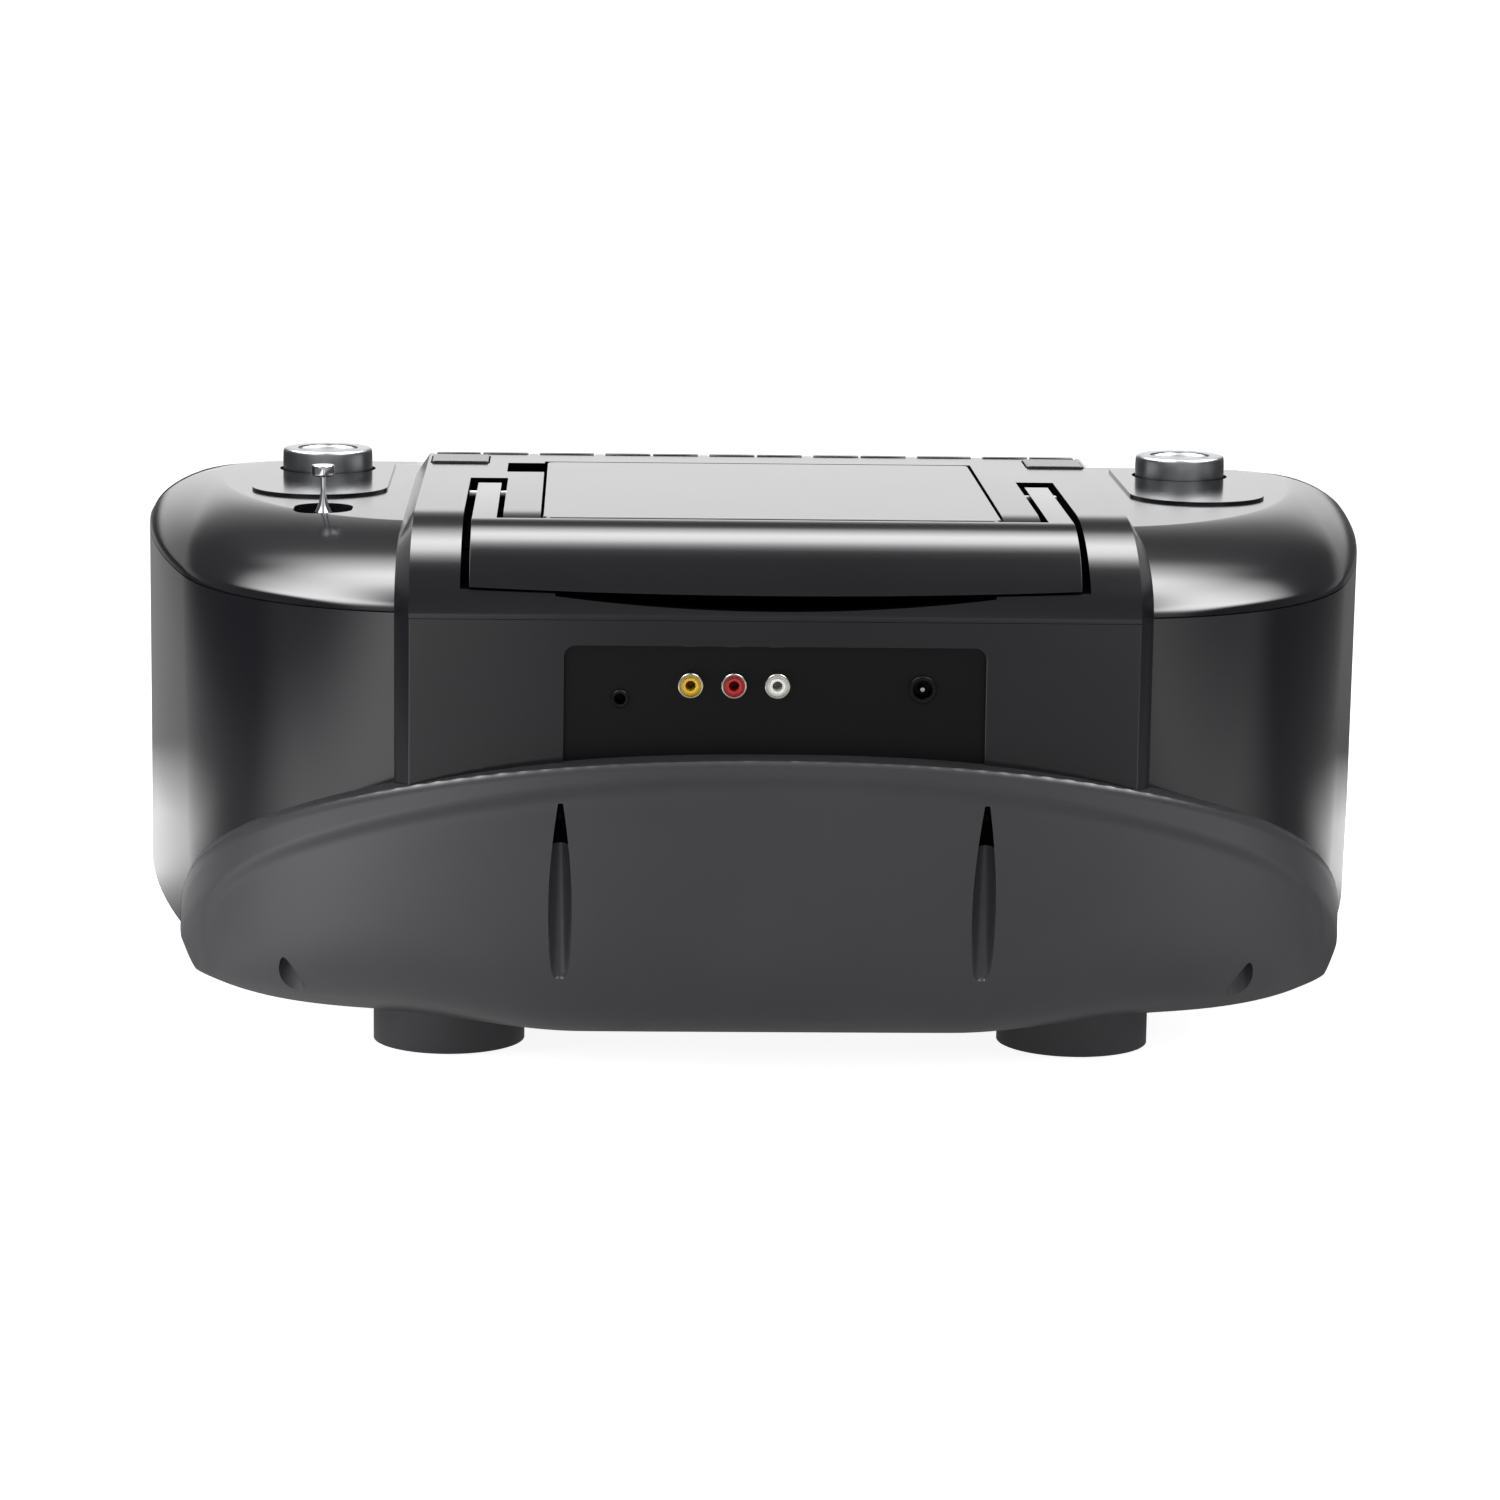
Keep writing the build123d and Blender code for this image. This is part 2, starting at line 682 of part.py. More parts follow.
def make_rear_cabinet(outer, inner):
    """Rear and side walls that reach down inside the base, with the jack window and two lugs."""
    shell = (outer - inner) & block(-CABINET_REACH, CABINET_REACH, -WALL, SPLIT_D, BASE_TOP_Z, SEAM_Z)
    inside_base = base_block(WALL + FIT)
    shell -= under_ledge() - inside_base
    shell -= both_sides(block(CENTRE_HALF, POD_INNER_X + WALL, SPLIT_D - WALL, SPLIT_D,
                              SEAM_Z - WALL, SEAM_Z))
    shell -= jack_window(0, -WALL, 2 * WALL)
    lug_z = CHANNEL_TOP_Z + BOSS_WALL + FIT
    x0 = SLOT_SCREW_X - LUG_WIDE / 2
    lug = block(x0, x0 + LUG_WIDE, -LUG_DEEP, WALL / 2, lug_z, lug_z + LUG_TALL)
    shell += both_sides(lug & inside_base)
    for x, d, screw_d, radius, top in screw_places():
        if top == CHANNEL_TOP_Z:
            shell -= upright(x, d, 0, lug_z, radius + BOSS_WALL + FIT)
            shell -= upright(x, screw_d, lug_z, lug_z + SCREW_LONG, SCREW_R)
    return shell


def jack_window(grow, d0, d1):
    """The jack opening as a prism, with its two upper corners rounded."""
    half = PANEL_HALF + grow
    top = PANEL_TOP_Z + grow
    low = PANEL_BOTTOM_Z - grow
    radius = PANEL_CORNER_R
    edges = [
        Line((-half, low), (half, low)),
        Line((half, low), (half, top - radius)),
        CenterArc((half - radius, top - radius), radius, 0, 90),
        Line((half - radius, top), (radius - half, top)),
        CenterArc((radius - half, top - radius), radius, 90, 90),
        Line((-half, top - radius), (-half, low)),
    ]
    return extrude(Plane.XZ.offset(-back(d1)) * make_face(edges), -(d1 - d0))


def make_front_panel(outer, inner):
    """Front baffle with two speaker holes and a recessed control bay."""
    floor_d = FRONT_D - BAY_DEEP
    bay = block(-BAY_HALF, BAY_HALF, floor_d, FRONT_D + WALL, BAY_LOW_Z, BAY_TOP_Z)
    lining = block(-BAY_HALF - WALL, BAY_HALF + WALL, floor_d - WALL, FRONT_D + WALL,
                   BAY_LOW_Z - WALL, BAY_TOP_Z + WALL)
    panel = (outer - bay) - (inner - lining)
    panel &= block(-CABINET_REACH, CABINET_REACH, SPLIT_D, FRONT_D + WALL, BASE_TOP_Z, TOP_Z)
    panel -= both_sides(rod_y(SPEAKER_X, SPLIT_D, FRONT_D + WALL, SPEAKER_Z, SPEAKER_R))
    for x in (-MIC_X, MIC_X):
        panel -= rod_y(x, SPLIT_D - WALL, FRONT_D, MIC_Z, MIC_BORE_R + BOSS_WALL)
        panel -= rod_y(x, SPLIT_D - WALL, FRONT_D, MIC_KNOB_Z, MIC_STUB_R + RUN_FIT)
    panel -= rod_y(0, SPLIT_D - WALL, FRONT_D, POWER_KEY_Z, POWER_KEY_R + KEY_SIDE_FIT)
    return panel


# ---- Carry handle ----

def handle_pin():
    """The right-hand handle pivot, across the arm's slot and into both of its walls."""
    x0 = HANDLE_HALF - ARM_WIDTH - ARM_SIDE_GAP - WALL
    x1 = HANDLE_HALF + HANDLE_SIDE_GAP + WALL
    return rod_x(x0, x1, ARM_PIVOT_D, TOP_Z - ARM_THICK / 2, PIVOT_R)


def make_carry_handle():
    """A bar that wraps the rear top edge and two flat arms that run forward to their pivots."""
    shape = along_x(centre_profile(0, 0, 0), -HANDLE_HALF, HANDLE_HALF)
    shape -= along_x(centre_profile(0, 0, HANDLE_THICK), -HANDLE_HALF, HANDLE_HALF)
    bar = shape & bowed_slab(HANDLE_HALF, HANDLE_END_Z, HANDLE_MID_Z, -WALL, SHOULDER_D)
    pivot_z = TOP_Z - ARM_THICK / 2
    inner = HANDLE_HALF - ARM_WIDTH
    arm = block(inner, HANDLE_HALF, SHOULDER_D - 1, ARM_PIVOT_D, TOP_Z - ARM_THICK, TOP_Z)
    arm += rod_x(inner, HANDLE_HALF, ARM_PIVOT_D, pivot_z, ARM_THICK / 2)
    arm -= rod_x(inner, HANDLE_HALF, ARM_PIVOT_D, pivot_z, PIVOT_R + RUN_FIT)
    return bar + both_sides(arm)


# ---- Disc lid and drive ----

def hinge_pin():
    """The right-hand lid pin, from the lid's knuckle into the wall of the lid's hollow."""
    x1 = LID_HALF + LID_GAP + WALL
    return rod_x(x1 - WALL - LID_GAP - KNUCKLE_LONG - 2, x1, HINGE_D, HINGE_Z, HINGE_PIN_R)


def make_disc_lid():
    plate = block(-LID_HALF, LID_HALF, LID_REAR_D, LID_FRONT_D, TOP_Z - LID_THICK, TOP_Z)
    plate = fillet(plate.edges().filter_by(Axis.Z), LID_CORNER_R)
    x1 = LID_HALF - 2
    knuckle = rod_x(x1 - KNUCKLE_LONG, x1, HINGE_D, HINGE_Z, KNUCKLE_R)
    lid = plate + both_sides(knuckle)
    return lid - both_sides(rod_x(x1 - KNUCKLE_LONG, x1, HINGE_D, HINGE_Z, HINGE_PIN_R + RUN_FIT))


def make_disc_well():
    """A round bowl hung under the lid's hollow, with a slot for the lens and four posts."""
    top = TOP_Z - LEDGE_DROP - WALL
    floor = top - WELL_DEPTH
    bowl = upright(0, LID_CENTRE_D, floor - WELL_WALL, top, WELL_R + WELL_WALL)
    bowl += upright(0, LID_CENTRE_D, top - WELL_WALL, top, WELL_R + WELL_WALL + WELL_LIP)
    bowl -= upright(0, LID_CENTRE_D, floor, top, WELL_R)
    bowl -= upright(0, LID_CENTRE_D, floor - WELL_WALL, floor, SHAFT_R + HUB_CLEAR)
    slot_half = LENS_R + HUB_CLEAR
    start = LID_CENTRE_D + PICKUP_START - slot_half
    bowl -= block(-slot_half, slot_half, start, start + PICKUP_TRAVEL + 2 * slot_half,
                  floor - WELL_WALL, floor)
    for x in (-CHASSIS_POST_X, CHASSIS_POST_X):
        for d in (LID_CENTRE_D - CHASSIS_REAR + 6, LID_CENTRE_D + CHASSIS_FRONT - 20):
            bowl += upright(x, d, CHASSIS_Z, floor - WELL_WALL, CHASSIS_POST_R)
    return bowl


def make_spindle_hub():
    """Turntable, centring spigot and motor shaft in one."""
    low = WELL_FLOOR_Z + HUB_CLEAR
    hub = upright(0, LID_CENTRE_D, low, low + HUB_THICK, HUB_R)
    spigot = upright(0, LID_CENTRE_D, low, low + HUB_THICK + SPIGOT_TALL, SPIGOT_R)
    spigot = chamfer(spigot.edges().group_by(Axis.Z)[-1], 1.0)
    return hub + spigot + upright(0, LID_CENTRE_D, CHASSIS_Z + MOTOR_TALL / 2, low, SHAFT_R)


def make_spindle_motor():
    motor = upright(0, LID_CENTRE_D, CHASSIS_Z, CHASSIS_Z + MOTOR_TALL, MOTOR_R)
    return motor - upright(0, LID_CENTRE_D, CHASSIS_Z + MOTOR_TALL / 2 - 1, TOP_Z, SHAFT_R + RUN_FIT)


def rail_span():
    """Where the pickup's rails start and end."""
    return LID_CENTRE_D + MOTOR_R + 1, LID_CENTRE_D + CHASSIS_FRONT


def make_mechanism_chassis():
    """Sheet that carries the motor and the pickup's rails, with a bracket at each rail end."""
    start, end = rail_span()
    sheet = block(-CHASSIS_HALF_X, CHASSIS_HALF_X, LID_CENTRE_D - CHASSIS_REAR, end,
                  CHASSIS_Z - CHASSIS_THICK, CHASSIS_Z)
    half = RAIL_SPREAD + 2 * RAIL_R
    top = CHASSIS_Z + RAIL_LIFT + 2 * RAIL_R
    for d in (start, end - BRACKET_THICK):
        sheet += block(-half, half, d, d + BRACKET_THICK, CHASSIS_Z, top)
    return sheet - both_sides(rod_y(RAIL_SPREAD, start, end, CHASSIS_Z + RAIL_LIFT, RAIL_R))


def make_pickup_rails():
    start, end = rail_span()
    rails = []
    for x in (-RAIL_SPREAD, RAIL_SPREAD):
        rails.append(rod_y(x, start, end, CHASSIS_Z + RAIL_LIFT, RAIL_R))
    return Compound(children=rails)


def make_optical_pickup():
    start = LID_CENTRE_D + PICKUP_START - PICKUP_LONG / 2
    low = CHASSIS_Z + PICKUP_GAP
    top = WELL_FLOOR_Z - WELL_WALL - PICKUP_GAP
    body = block(-PICKUP_WIDE / 2, PICKUP_WIDE / 2, start, start + PICKUP_LONG, low, top)
    bore = RAIL_R + RUN_FIT
    return body - both_sides(rod_y(RAIL_SPREAD, start, start + PICKUP_LONG, CHASSIS_Z + RAIL_LIFT, bore))


def make_pickup_lens():
    low = WELL_FLOOR_Z - WELL_WALL - PICKUP_GAP
    return upright(0, LID_CENTRE_D + PICKUP_START, low, low + LENS_TALL, LENS_R)


# ---- Keys ----

def make_front_key(x, width):
    """A key that follows the top's front edge: flat behind, sloping in front."""
    outline = centre_profile(0, 0, -KEY_PROUD)
    key = along_x(outline, x, x + width)
    key &= block(x, x + width, KEY_REAR_D, KEY_FRONT_D, KEY_BOTTOM_Z, TOP_Z + WALL)
    lip = KEY_FLANGE
    key += block(x - lip, x + width + lip, KEY_REAR_D - lip, KEY_FRONT_D + lip, KEY_BOTTOM_Z,
                 KEY_BOTTOM_Z + KEY_FLANGE_THICK)
    if width == ROCKER_WIDE:
        middle = x + width / 2
        key -= block(middle - KEY_GROOVE, middle + KEY_GROOVE, KEY_REAR_D, KEY_FRONT_D,
                     TOP_Z, TOP_Z + WALL)
    return key


def make_mode_key(x):
    half = MODE_KEY_WIDE / 2
    lip = KEY_FLANGE
    key = block(x - half, x + half, MODE_KEY_REAR_D, MODE_KEY_FRONT_D, KEY_BOTTOM_Z, TOP_Z + KEY_PROUD)
    key = fillet(key.edges().group_by(Axis.Z)[-1], KEY_GROOVE)
    return key + block(x - half - lip, x + half + lip, MODE_KEY_REAR_D - lip, MODE_KEY_FRONT_D + lip,
                       KEY_BOTTOM_Z, KEY_BOTTOM_Z + KEY_FLANGE_THICK)


def make_key_board():
    """Board under the keys with one switch under each end of a rocker and one under a plain key."""
    half = CENTRE_HALF - WALL
    top = KEY_BOARD_Z + BOARD_THICK
    board = block(-half, half, KEY_BOARD_REAR_D, KEY_BOARD_FRONT_D, KEY_BOARD_Z, top)
    places = []
    for x, width in front_keys():
        middle = x + width / 2
        spread = width / 4 if width == ROCKER_WIDE else 0
        places += [(middle - spread, KEY_ROW_D), (middle + spread, KEY_ROW_D)]
    for x in (-MODE_KEY_X, MODE_KEY_X):
        places.append((x, (MODE_KEY_REAR_D + MODE_KEY_FRONT_D) / 2))
    for x, d in places:
        board += block(x - 3, x + 3, d - 3, d + 3, top, top + SWITCH_TALL)
    return board


# ---- Knobs ----

def make_knob_plates():
    """Raised oblong plates round the knobs, with a rounded rear end."""
    plate = upright(KNOB_X, PLATE_REAR_D, DECK_Z, DECK_Z + PLATE_THICK, PLATE_R)
    plate += block(KNOB_X - PLATE_R, KNOB_X + PLATE_R, PLATE_REAR_D, PLATE_FRONT_D, DECK_Z,
                   DECK_Z + PLATE_THICK)
    plate -= upright(KNOB_X, KNOB_D, DECK_Z, TOP_Z, KNOB_WELL_R)
    return both_sides(plate)


def make_volume_knob(x):
    """Turned knob with a bevelled rim, a shallow dish and a stub that enters the potentiometer."""
    cap = upright(x, KNOB_D, KNOB_WELL_Z + KNOB_LIFT, KNOB_TOP_Z, KNOB_R)
    cap = chamfer(cap.edges().group_by(Axis.Z)[-1], KNOB_CHAMFER)
    cap -= upright(x, KNOB_D, KNOB_TOP_Z - KNOB_DISH_DEPTH, TOP_Z + WALL, KNOB_DISH_R)
    return cap + upright(x, KNOB_D, POT_TOP_Z - STUB_DEPTH, KNOB_WELL_Z + KNOB_LIFT, STUB_R)


def make_potentiometers():
    pot = upright(KNOB_X, KNOB_D, POT_TOP_Z - POT_TALL, POT_TOP_Z, POT_R)
    return both_sides(pot - upright(KNOB_X, KNOB_D, POT_TOP_Z - STUB_DEPTH - 1, TOP_Z, STUB_R + RUN_FIT))


# ---- Antenna ----

def make_antenna_socket(inner):
    """Oval cup that hangs from the deck's underside and holds the antenna upright."""
    top = DECK_Z
    low = DECK_Z - ANTENNA_WELL_DEPTH - SOCKET_WALL
    grow = 2 * SOCKET_WALL
    cup = oval(ANTENNA_WELL_LONG + grow, ANTENNA_WELL_WIDE + grow, low, top)
    cup -= oval(ANTENNA_WELL_LONG, ANTENNA_WELL_WIDE, low + SOCKET_WALL, top)
    return (cup - upright(ANTENNA_X, ANTENNA_D, low, top, TUBE_R + RUN_FIT)) & inner


def tube_radius(stage):
    """Outer radius of a stage: each slides inside the one before with a running fit."""
    return TUBE_R - stage * (TUBE_WALL + RUN_FIT)


def make_antenna_tube(stage):
    low = TUBE_BOTTOM_Z + stage * TUBE_STEP_Z
    high = FLARE_BOTTOM_Z - (4 - stage) * 1.0
    tube = upright(ANTENNA_X, ANTENNA_D, low, high, tube_radius(stage))
    tube -= upright(ANTENNA_X, ANTENNA_D, low, high, tube_radius(stage) - TUBE_WALL)
    if stage == 0:
        floor = DECK_Z - ANTENNA_WELL_DEPTH
        collar = upright(ANTENNA_X, ANTENNA_D, floor, floor + COLLAR_THICK, COLLAR_R)
        tube += collar - upright(ANTENNA_X, ANTENNA_D, floor, high, tube_radius(0) - TUBE_WALL)
    return tube


def make_antenna_tip_rod():
    """Inner rod, a trumpet-shaped flare, a thin neck and a flat cap."""
    low = TUBE_BOTTOM_Z + 3 * TUBE_STEP_Z
    profile = make_face([
        Line((0, FLARE_BOTTOM_Z), (FLARE_R, FLARE_BOTTOM_Z)),
        Bezier((FLARE_R, FLARE_BOTTOM_Z), (NECK_R, mix(FLARE_BOTTOM_Z, NECK_Z, 0.4)), (NECK_R, NECK_Z)),
        Line((NECK_R, NECK_Z), (NECK_R, CAP_Z - 1)),
        Line((NECK_R, CAP_Z - 1), (CAP_R, CAP_Z)),
        Line((CAP_R, CAP_Z), (CAP_R, CAP_Z + CAP_TALL)),
        Line((CAP_R, CAP_Z + CAP_TALL), (0, CAP_Z + CAP_TALL)),
        Line((0, CAP_Z + CAP_TALL), (0, FLARE_BOTTOM_Z)),
    ])
    tip = Pos(ANTENNA_X, back(ANTENNA_D), 0) * revolve(Plane.XZ * profile, Axis.Z)
    return tip + upright(ANTENNA_X, ANTENNA_D, low, FLARE_BOTTOM_Z, tube_radius(3))


# ---- Jacks ----

def rca_places():
    return [RCA_X + RCA_PITCH * step for step in (1, 0, -1)]


def make_jack_panel():
    panel = jack_window(PANEL_MARGIN, WALL, WALL + PANEL_THICK)
    for x in rca_places():
        panel -= rod_y(x, 0, 2 * WALL + PANEL_THICK, RCA_Z, RCA_R)
    panel -= rod_y(AUX_X, 0, 2 * WALL + PANEL_THICK, AUX_Z, AUX_R)
    return panel - rod_y(POWER_X, 0, 2 * WALL + PANEL_THICK, POWER_Z, POWER_R)


def make_rca_shells():
    shells = []
    for x in rca_places():
        shell = rod_y(x, WALL - RCA_PROUD, WALL + PANEL_THICK + 1, RCA_Z, RCA_R)
        shells.append(shell - rod_y(x, -RCA_PROUD, 4 * WALL, RCA_Z, RCA_R - RCA_WALL))
    return Compound(children=shells)


def make_rca_insert(x):
    """Coloured insulator with the pin's hole, reaching back to the jack board."""
    insert = rod_y(x, WALL - RCA_PROUD, JACK_BOARD_D, RCA_Z, RCA_R - RCA_WALL)
    return insert - rod_y(x, WALL - RCA_PROUD, WALL + RCA_BODY_DEEP / 2, RCA_Z, RCA_PIN_R)


def make_aux_jack():
    jack = rod_y(AUX_X, WALL - JACK_PROUD, JACK_BOARD_D, AUX_Z, AUX_R)
    return jack - rod_y(AUX_X, WALL - JACK_PROUD, WALL - JACK_PROUD + AUX_DEEP - 2, AUX_Z, AUX_BORE_R)


def make_power_jack():
    jack = rod_y(POWER_X, WALL - JACK_PROUD, JACK_BOARD_D, POWER_Z, POWER_R)
    jack -= rod_y(POWER_X, WALL - JACK_PROUD, WALL + POWER_DEEP - 4, POWER_Z, POWER_BORE_R)
    return jack + rod_y(POWER_X, WALL, JACK_BOARD_D, POWER_Z, POWER_PIN_R)


def make_jack_board():
    half = PANEL_HALF - PANEL_MARGIN
    return block(-half, half, JACK_BOARD_D, JACK_BOARD_D + BOARD_THICK, AUX_Z - 8, PANEL_TOP_Z)


# ---- Speakers ----

def grille_holes(x):
    """Rings of round holes, each ring one pitch further out."""
    holes = []
    for ring in range(GRILLE_RINGS + 1):
        count = max(1, 6 * ring)
        for step in range(count):
            angle = 2 * math.pi * step / count
            hx = x + ring * GRILLE_PITCH * math.cos(angle)
            hz = SPEAKER_Z + ring * GRILLE_PITCH * math.sin(angle)
            holes.append(rod_y(hx, SPLIT_D, FRONT_D + WALL, hz, GRILLE_HOLE_R))
    return holes


def make_speaker_grille(x):
    """Slightly domed perforated disc that lies in the baffle's hole."""
    radius = SPEAKER_R - GRILLE_FIT
    seat = FRONT_D - WALL
    sphere_r = (radius * radius + GRILLE_DOME * GRILLE_DOME) / (2 * GRILLE_DOME)
    ball_y = back(seat) + sphere_r - GRILLE_DOME
    outer = Pos(x, ball_y - GRILLE_THICK, SPEAKER_Z) * Sphere(sphere_r)
    inner = Pos(x, ball_y, SPEAKER_Z) * Sphere(sphere_r)
    disc = rod_y(x, seat, FRONT_D + WALL, SPEAKER_Z, radius) & outer
    return (disc - inner).cut(*grille_holes(x))


def basket_depths():
    """Distances forward of the basket's front face, of its inner ledge and of its rear."""
    seat = FRONT_D - WALL
    return seat, seat - BASKET_RIM, seat - BASKET_DEEP


def make_speaker_basket(x):
    """Rim, tapered frame and magnet in one, behind the baffle."""
    seat, ledge, rear = basket_depths()
    basket = rod_y(x, ledge, seat, SPEAKER_Z, SPEAKER_R + BASKET_LIP)
    basket += cone_y(x, rear, ledge, SPEAKER_Z, MAGNET_R, SPEAKER_R)
    basket += rod_y(x, rear - MAGNET_TALL, rear, SPEAKER_Z, MAGNET_R)
    basket -= rod_y(x, ledge, seat, SPEAKER_Z, SPEAKER_R - BASKET_WALL)
    return basket - cone_y(x, rear + BASKET_WALL, ledge, SPEAKER_Z, MAGNET_R - BASKET_WALL,
                           SPEAKER_R - BASKET_WALL - BASKET_LEDGE)


def make_speaker_cone(x):
    """Paper cone with its dust cap and a flat surround that rests on the basket's ledge."""
    seat, ledge, rear = basket_depths()
    back_d = rear + BASKET_WALL + CONE_FIT
    edge = SPEAKER_R - BASKET_WALL - BASKET_LEDGE - CONE_FIT
    cone = cone_y(x, back_d, ledge, SPEAKER_Z, VOICE_R, edge)
    cone += rod_y(x, ledge, ledge + CONE_WALL, SPEAKER_Z, SPEAKER_R - BASKET_WALL - FIT)
    cone -= cone_y(x, back_d + CONE_WALL, ledge + CONE_WALL, SPEAKER_Z, VOICE_R, edge)
    return cone + rod_y(x, back_d, back_d + 3 * CONE_WALL, SPEAKER_Z, VOICE_R)


# ---- Front controls ----

def make_mic_jacks():
    jacks = []
    floor_d = FRONT_D - BAY_DEEP
    for x in (-MIC_X, MIC_X):
        jack = rod_y(x, floor_d - MIC_DEEP, floor_d, MIC_Z, MIC_BORE_R + BOSS_WALL)
        jack += rod_y(x, floor_d, floor_d + MIC_PROUD, MIC_Z, MIC_R)
        jacks.append(jack - rod_y(x, floor_d - MIC_DEEP + BOSS_WALL, floor_d + MIC_PROUD, MIC_Z, MIC_BORE_R))
    return Compound(children=jacks)


def make_mic_knob(x):
    floor_d = FRONT_D - BAY_DEEP
    cap = rod_y(x, floor_d + MIC_KNOB_LIFT, floor_d + MIC_KNOB_PROUD, MIC_KNOB_Z, MIC_KNOB_R)
    cap = chamfer(cap.edges().group_by(Axis.Y)[0], KNOB_CHAMFER)
    return cap + rod_y(x, floor_d - MIC_STUB_LONG, floor_d + MIC_KNOB_LIFT, MIC_KNOB_Z, MIC_STUB_R)


def make_power_key():
    floor_d = FRONT_D - BAY_DEEP
    key = rod_y(0, floor_d - POWER_KEY_DEEP, floor_d + POWER_KEY_PROUD, POWER_KEY_Z, POWER_KEY_R)
    lip_d = floor_d - WALL - POWER_KEY_TRAVEL
    return key + rod_y(0, lip_d - KEY_FLANGE_THICK, lip_d, POWER_KEY_Z, POWER_KEY_R + KEY_FLANGE)


# ---- Boards and screws ----

def make_main_board():
    board = block(-MAIN_HALF_X, MAIN_HALF_X, MAIN_D - MAIN_HALF_D, MAIN_D + MAIN_HALF_D, MAIN_Z,
                  MAIN_Z + BOARD_THICK)
    for step in range(4):
        x = -MAIN_HALF_X * 0.6 + step * MAIN_HALF_X * 0.4
        board += block(x - 6, x + 6, MAIN_D - 6, MAIN_D + 6, MAIN_Z + BOARD_THICK, MAIN_Z + 3 * BOARD_THICK)
    return board


def make_case_screws():
    screws = []
    for x, d, screw_d, radius, top in screw_places():
        screw = upright(x, screw_d, top - SCREW_HEAD_TALL, top, SCREW_HEAD_R)
        screws.append(screw + upright(x, screw_d, top, top + SCREW_LONG - SCREW_HEAD_TALL, SCREW_R))
    return Compound(children=screws)


def build():
    """Every separate piece by its node name."""
    outer = cabinet_block(0)
    inner = cabinet_block(WALL) - pod_floors()
    pieces = {
        "top_shell": make_top_shell(outer, inner),
        "rear_cabinet": make_rear_cabinet(outer, inner),
        "front_panel": make_front_panel(outer, inner),
        "base_shell": make_base_shell(),
        "foot_pads": make_foot_pads(),
        "carry_handle": make_carry_handle(),
        "handle_pivot_pins": both_sides(handle_pin()),
        "disc_lid": make_disc_lid(),
        "lid_hinge_pins": both_sides(hinge_pin()),
        "disc_well": make_disc_well(),
        "spindle_hub": make_spindle_hub(),
        "spindle_motor": make_spindle_motor(),
        "mechanism_chassis": make_mechanism_chassis(),
        "pickup_rails": make_pickup_rails(),
        "optical_pickup": make_optical_pickup(),
        "pickup_lens": make_pickup_lens(),
        "knob_plates": make_knob_plates(),
        "potentiometers": make_potentiometers(),
        "antenna_socket": make_antenna_socket(inner),
        "antenna_sleeve": make_antenna_tube(0),
        "antenna_middle_tube": make_antenna_tube(1),
        "antenna_inner_tube": make_antenna_tube(2),
        "antenna_tip_rod": make_antenna_tip_rod(),
        "key_board": make_key_board(),
        "display_window": fascia_skin(0, DISPLAY_THICK, DISPLAY_HALF, DISPLAY_START_D, DISPLAY_END_D),
        "jack_panel": make_jack_panel(),
        "rca_shells": make_rca_shells(),
        "aux_jack": make_aux_jack(),
        "power_jack": make_power_jack(),
        "jack_board": make_jack_board(),
        "mic_jacks": make_mic_jacks(),
        "power_key": make_power_key(),
        "main_board": make_main_board(),
        "case_screws": make_case_screws(),
    }
    pieces.update(make_feet())
    for colour, x in zip(("yellow", "red", "white"), rca_places()):
        pieces[f"rca_insert_{colour}"] = make_rca_insert(x)
    for number, (x, width) in enumerate(front_keys(), 1):
        pieces[f"front_key_{number}"] = make_front_key(x, width)
    for side, sign in (("left", -1), ("right", 1)):
        pieces[f"mode_key_{side}"] = make_mode_key(sign * MODE_KEY_X)
        pieces[f"volume_knob_{side}"] = make_volume_knob(sign * KNOB_X)
        pieces[f"speaker_grille_{side}"] = make_speaker_grille(sign * SPEAKER_X)
        pieces[f"speaker_basket_{side}"] = make_speaker_basket(sign * SPEAKER_X)
        pieces[f"speaker_cone_{side}"] = make_speaker_cone(sign * SPEAKER_X)
        pieces[f"mic_knob_{side}"] = make_mic_knob(sign * MIC_X)
    return pieces


def main():
    os.makedirs("parts", exist_ok=True)
    pieces = build()
    for name, piece in pieces.items():
        export_step(piece, f"parts/{name}.step")
        print(name, len(piece.solids()), round(piece.volume))
    print(len(pieces), "pieces")


main()
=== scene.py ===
# %% [markdown]
# # A karaoke machine with a top-loading disc compartment
# The machine stands with its jacks towards +Y, and its speakers look along -Y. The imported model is
# loaded first. The pieces made here are laid over its solids, body by body.

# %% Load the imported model
import json
import math
import bmesh
import bpy
import numpy as np
from mathutils import Matrix, Vector

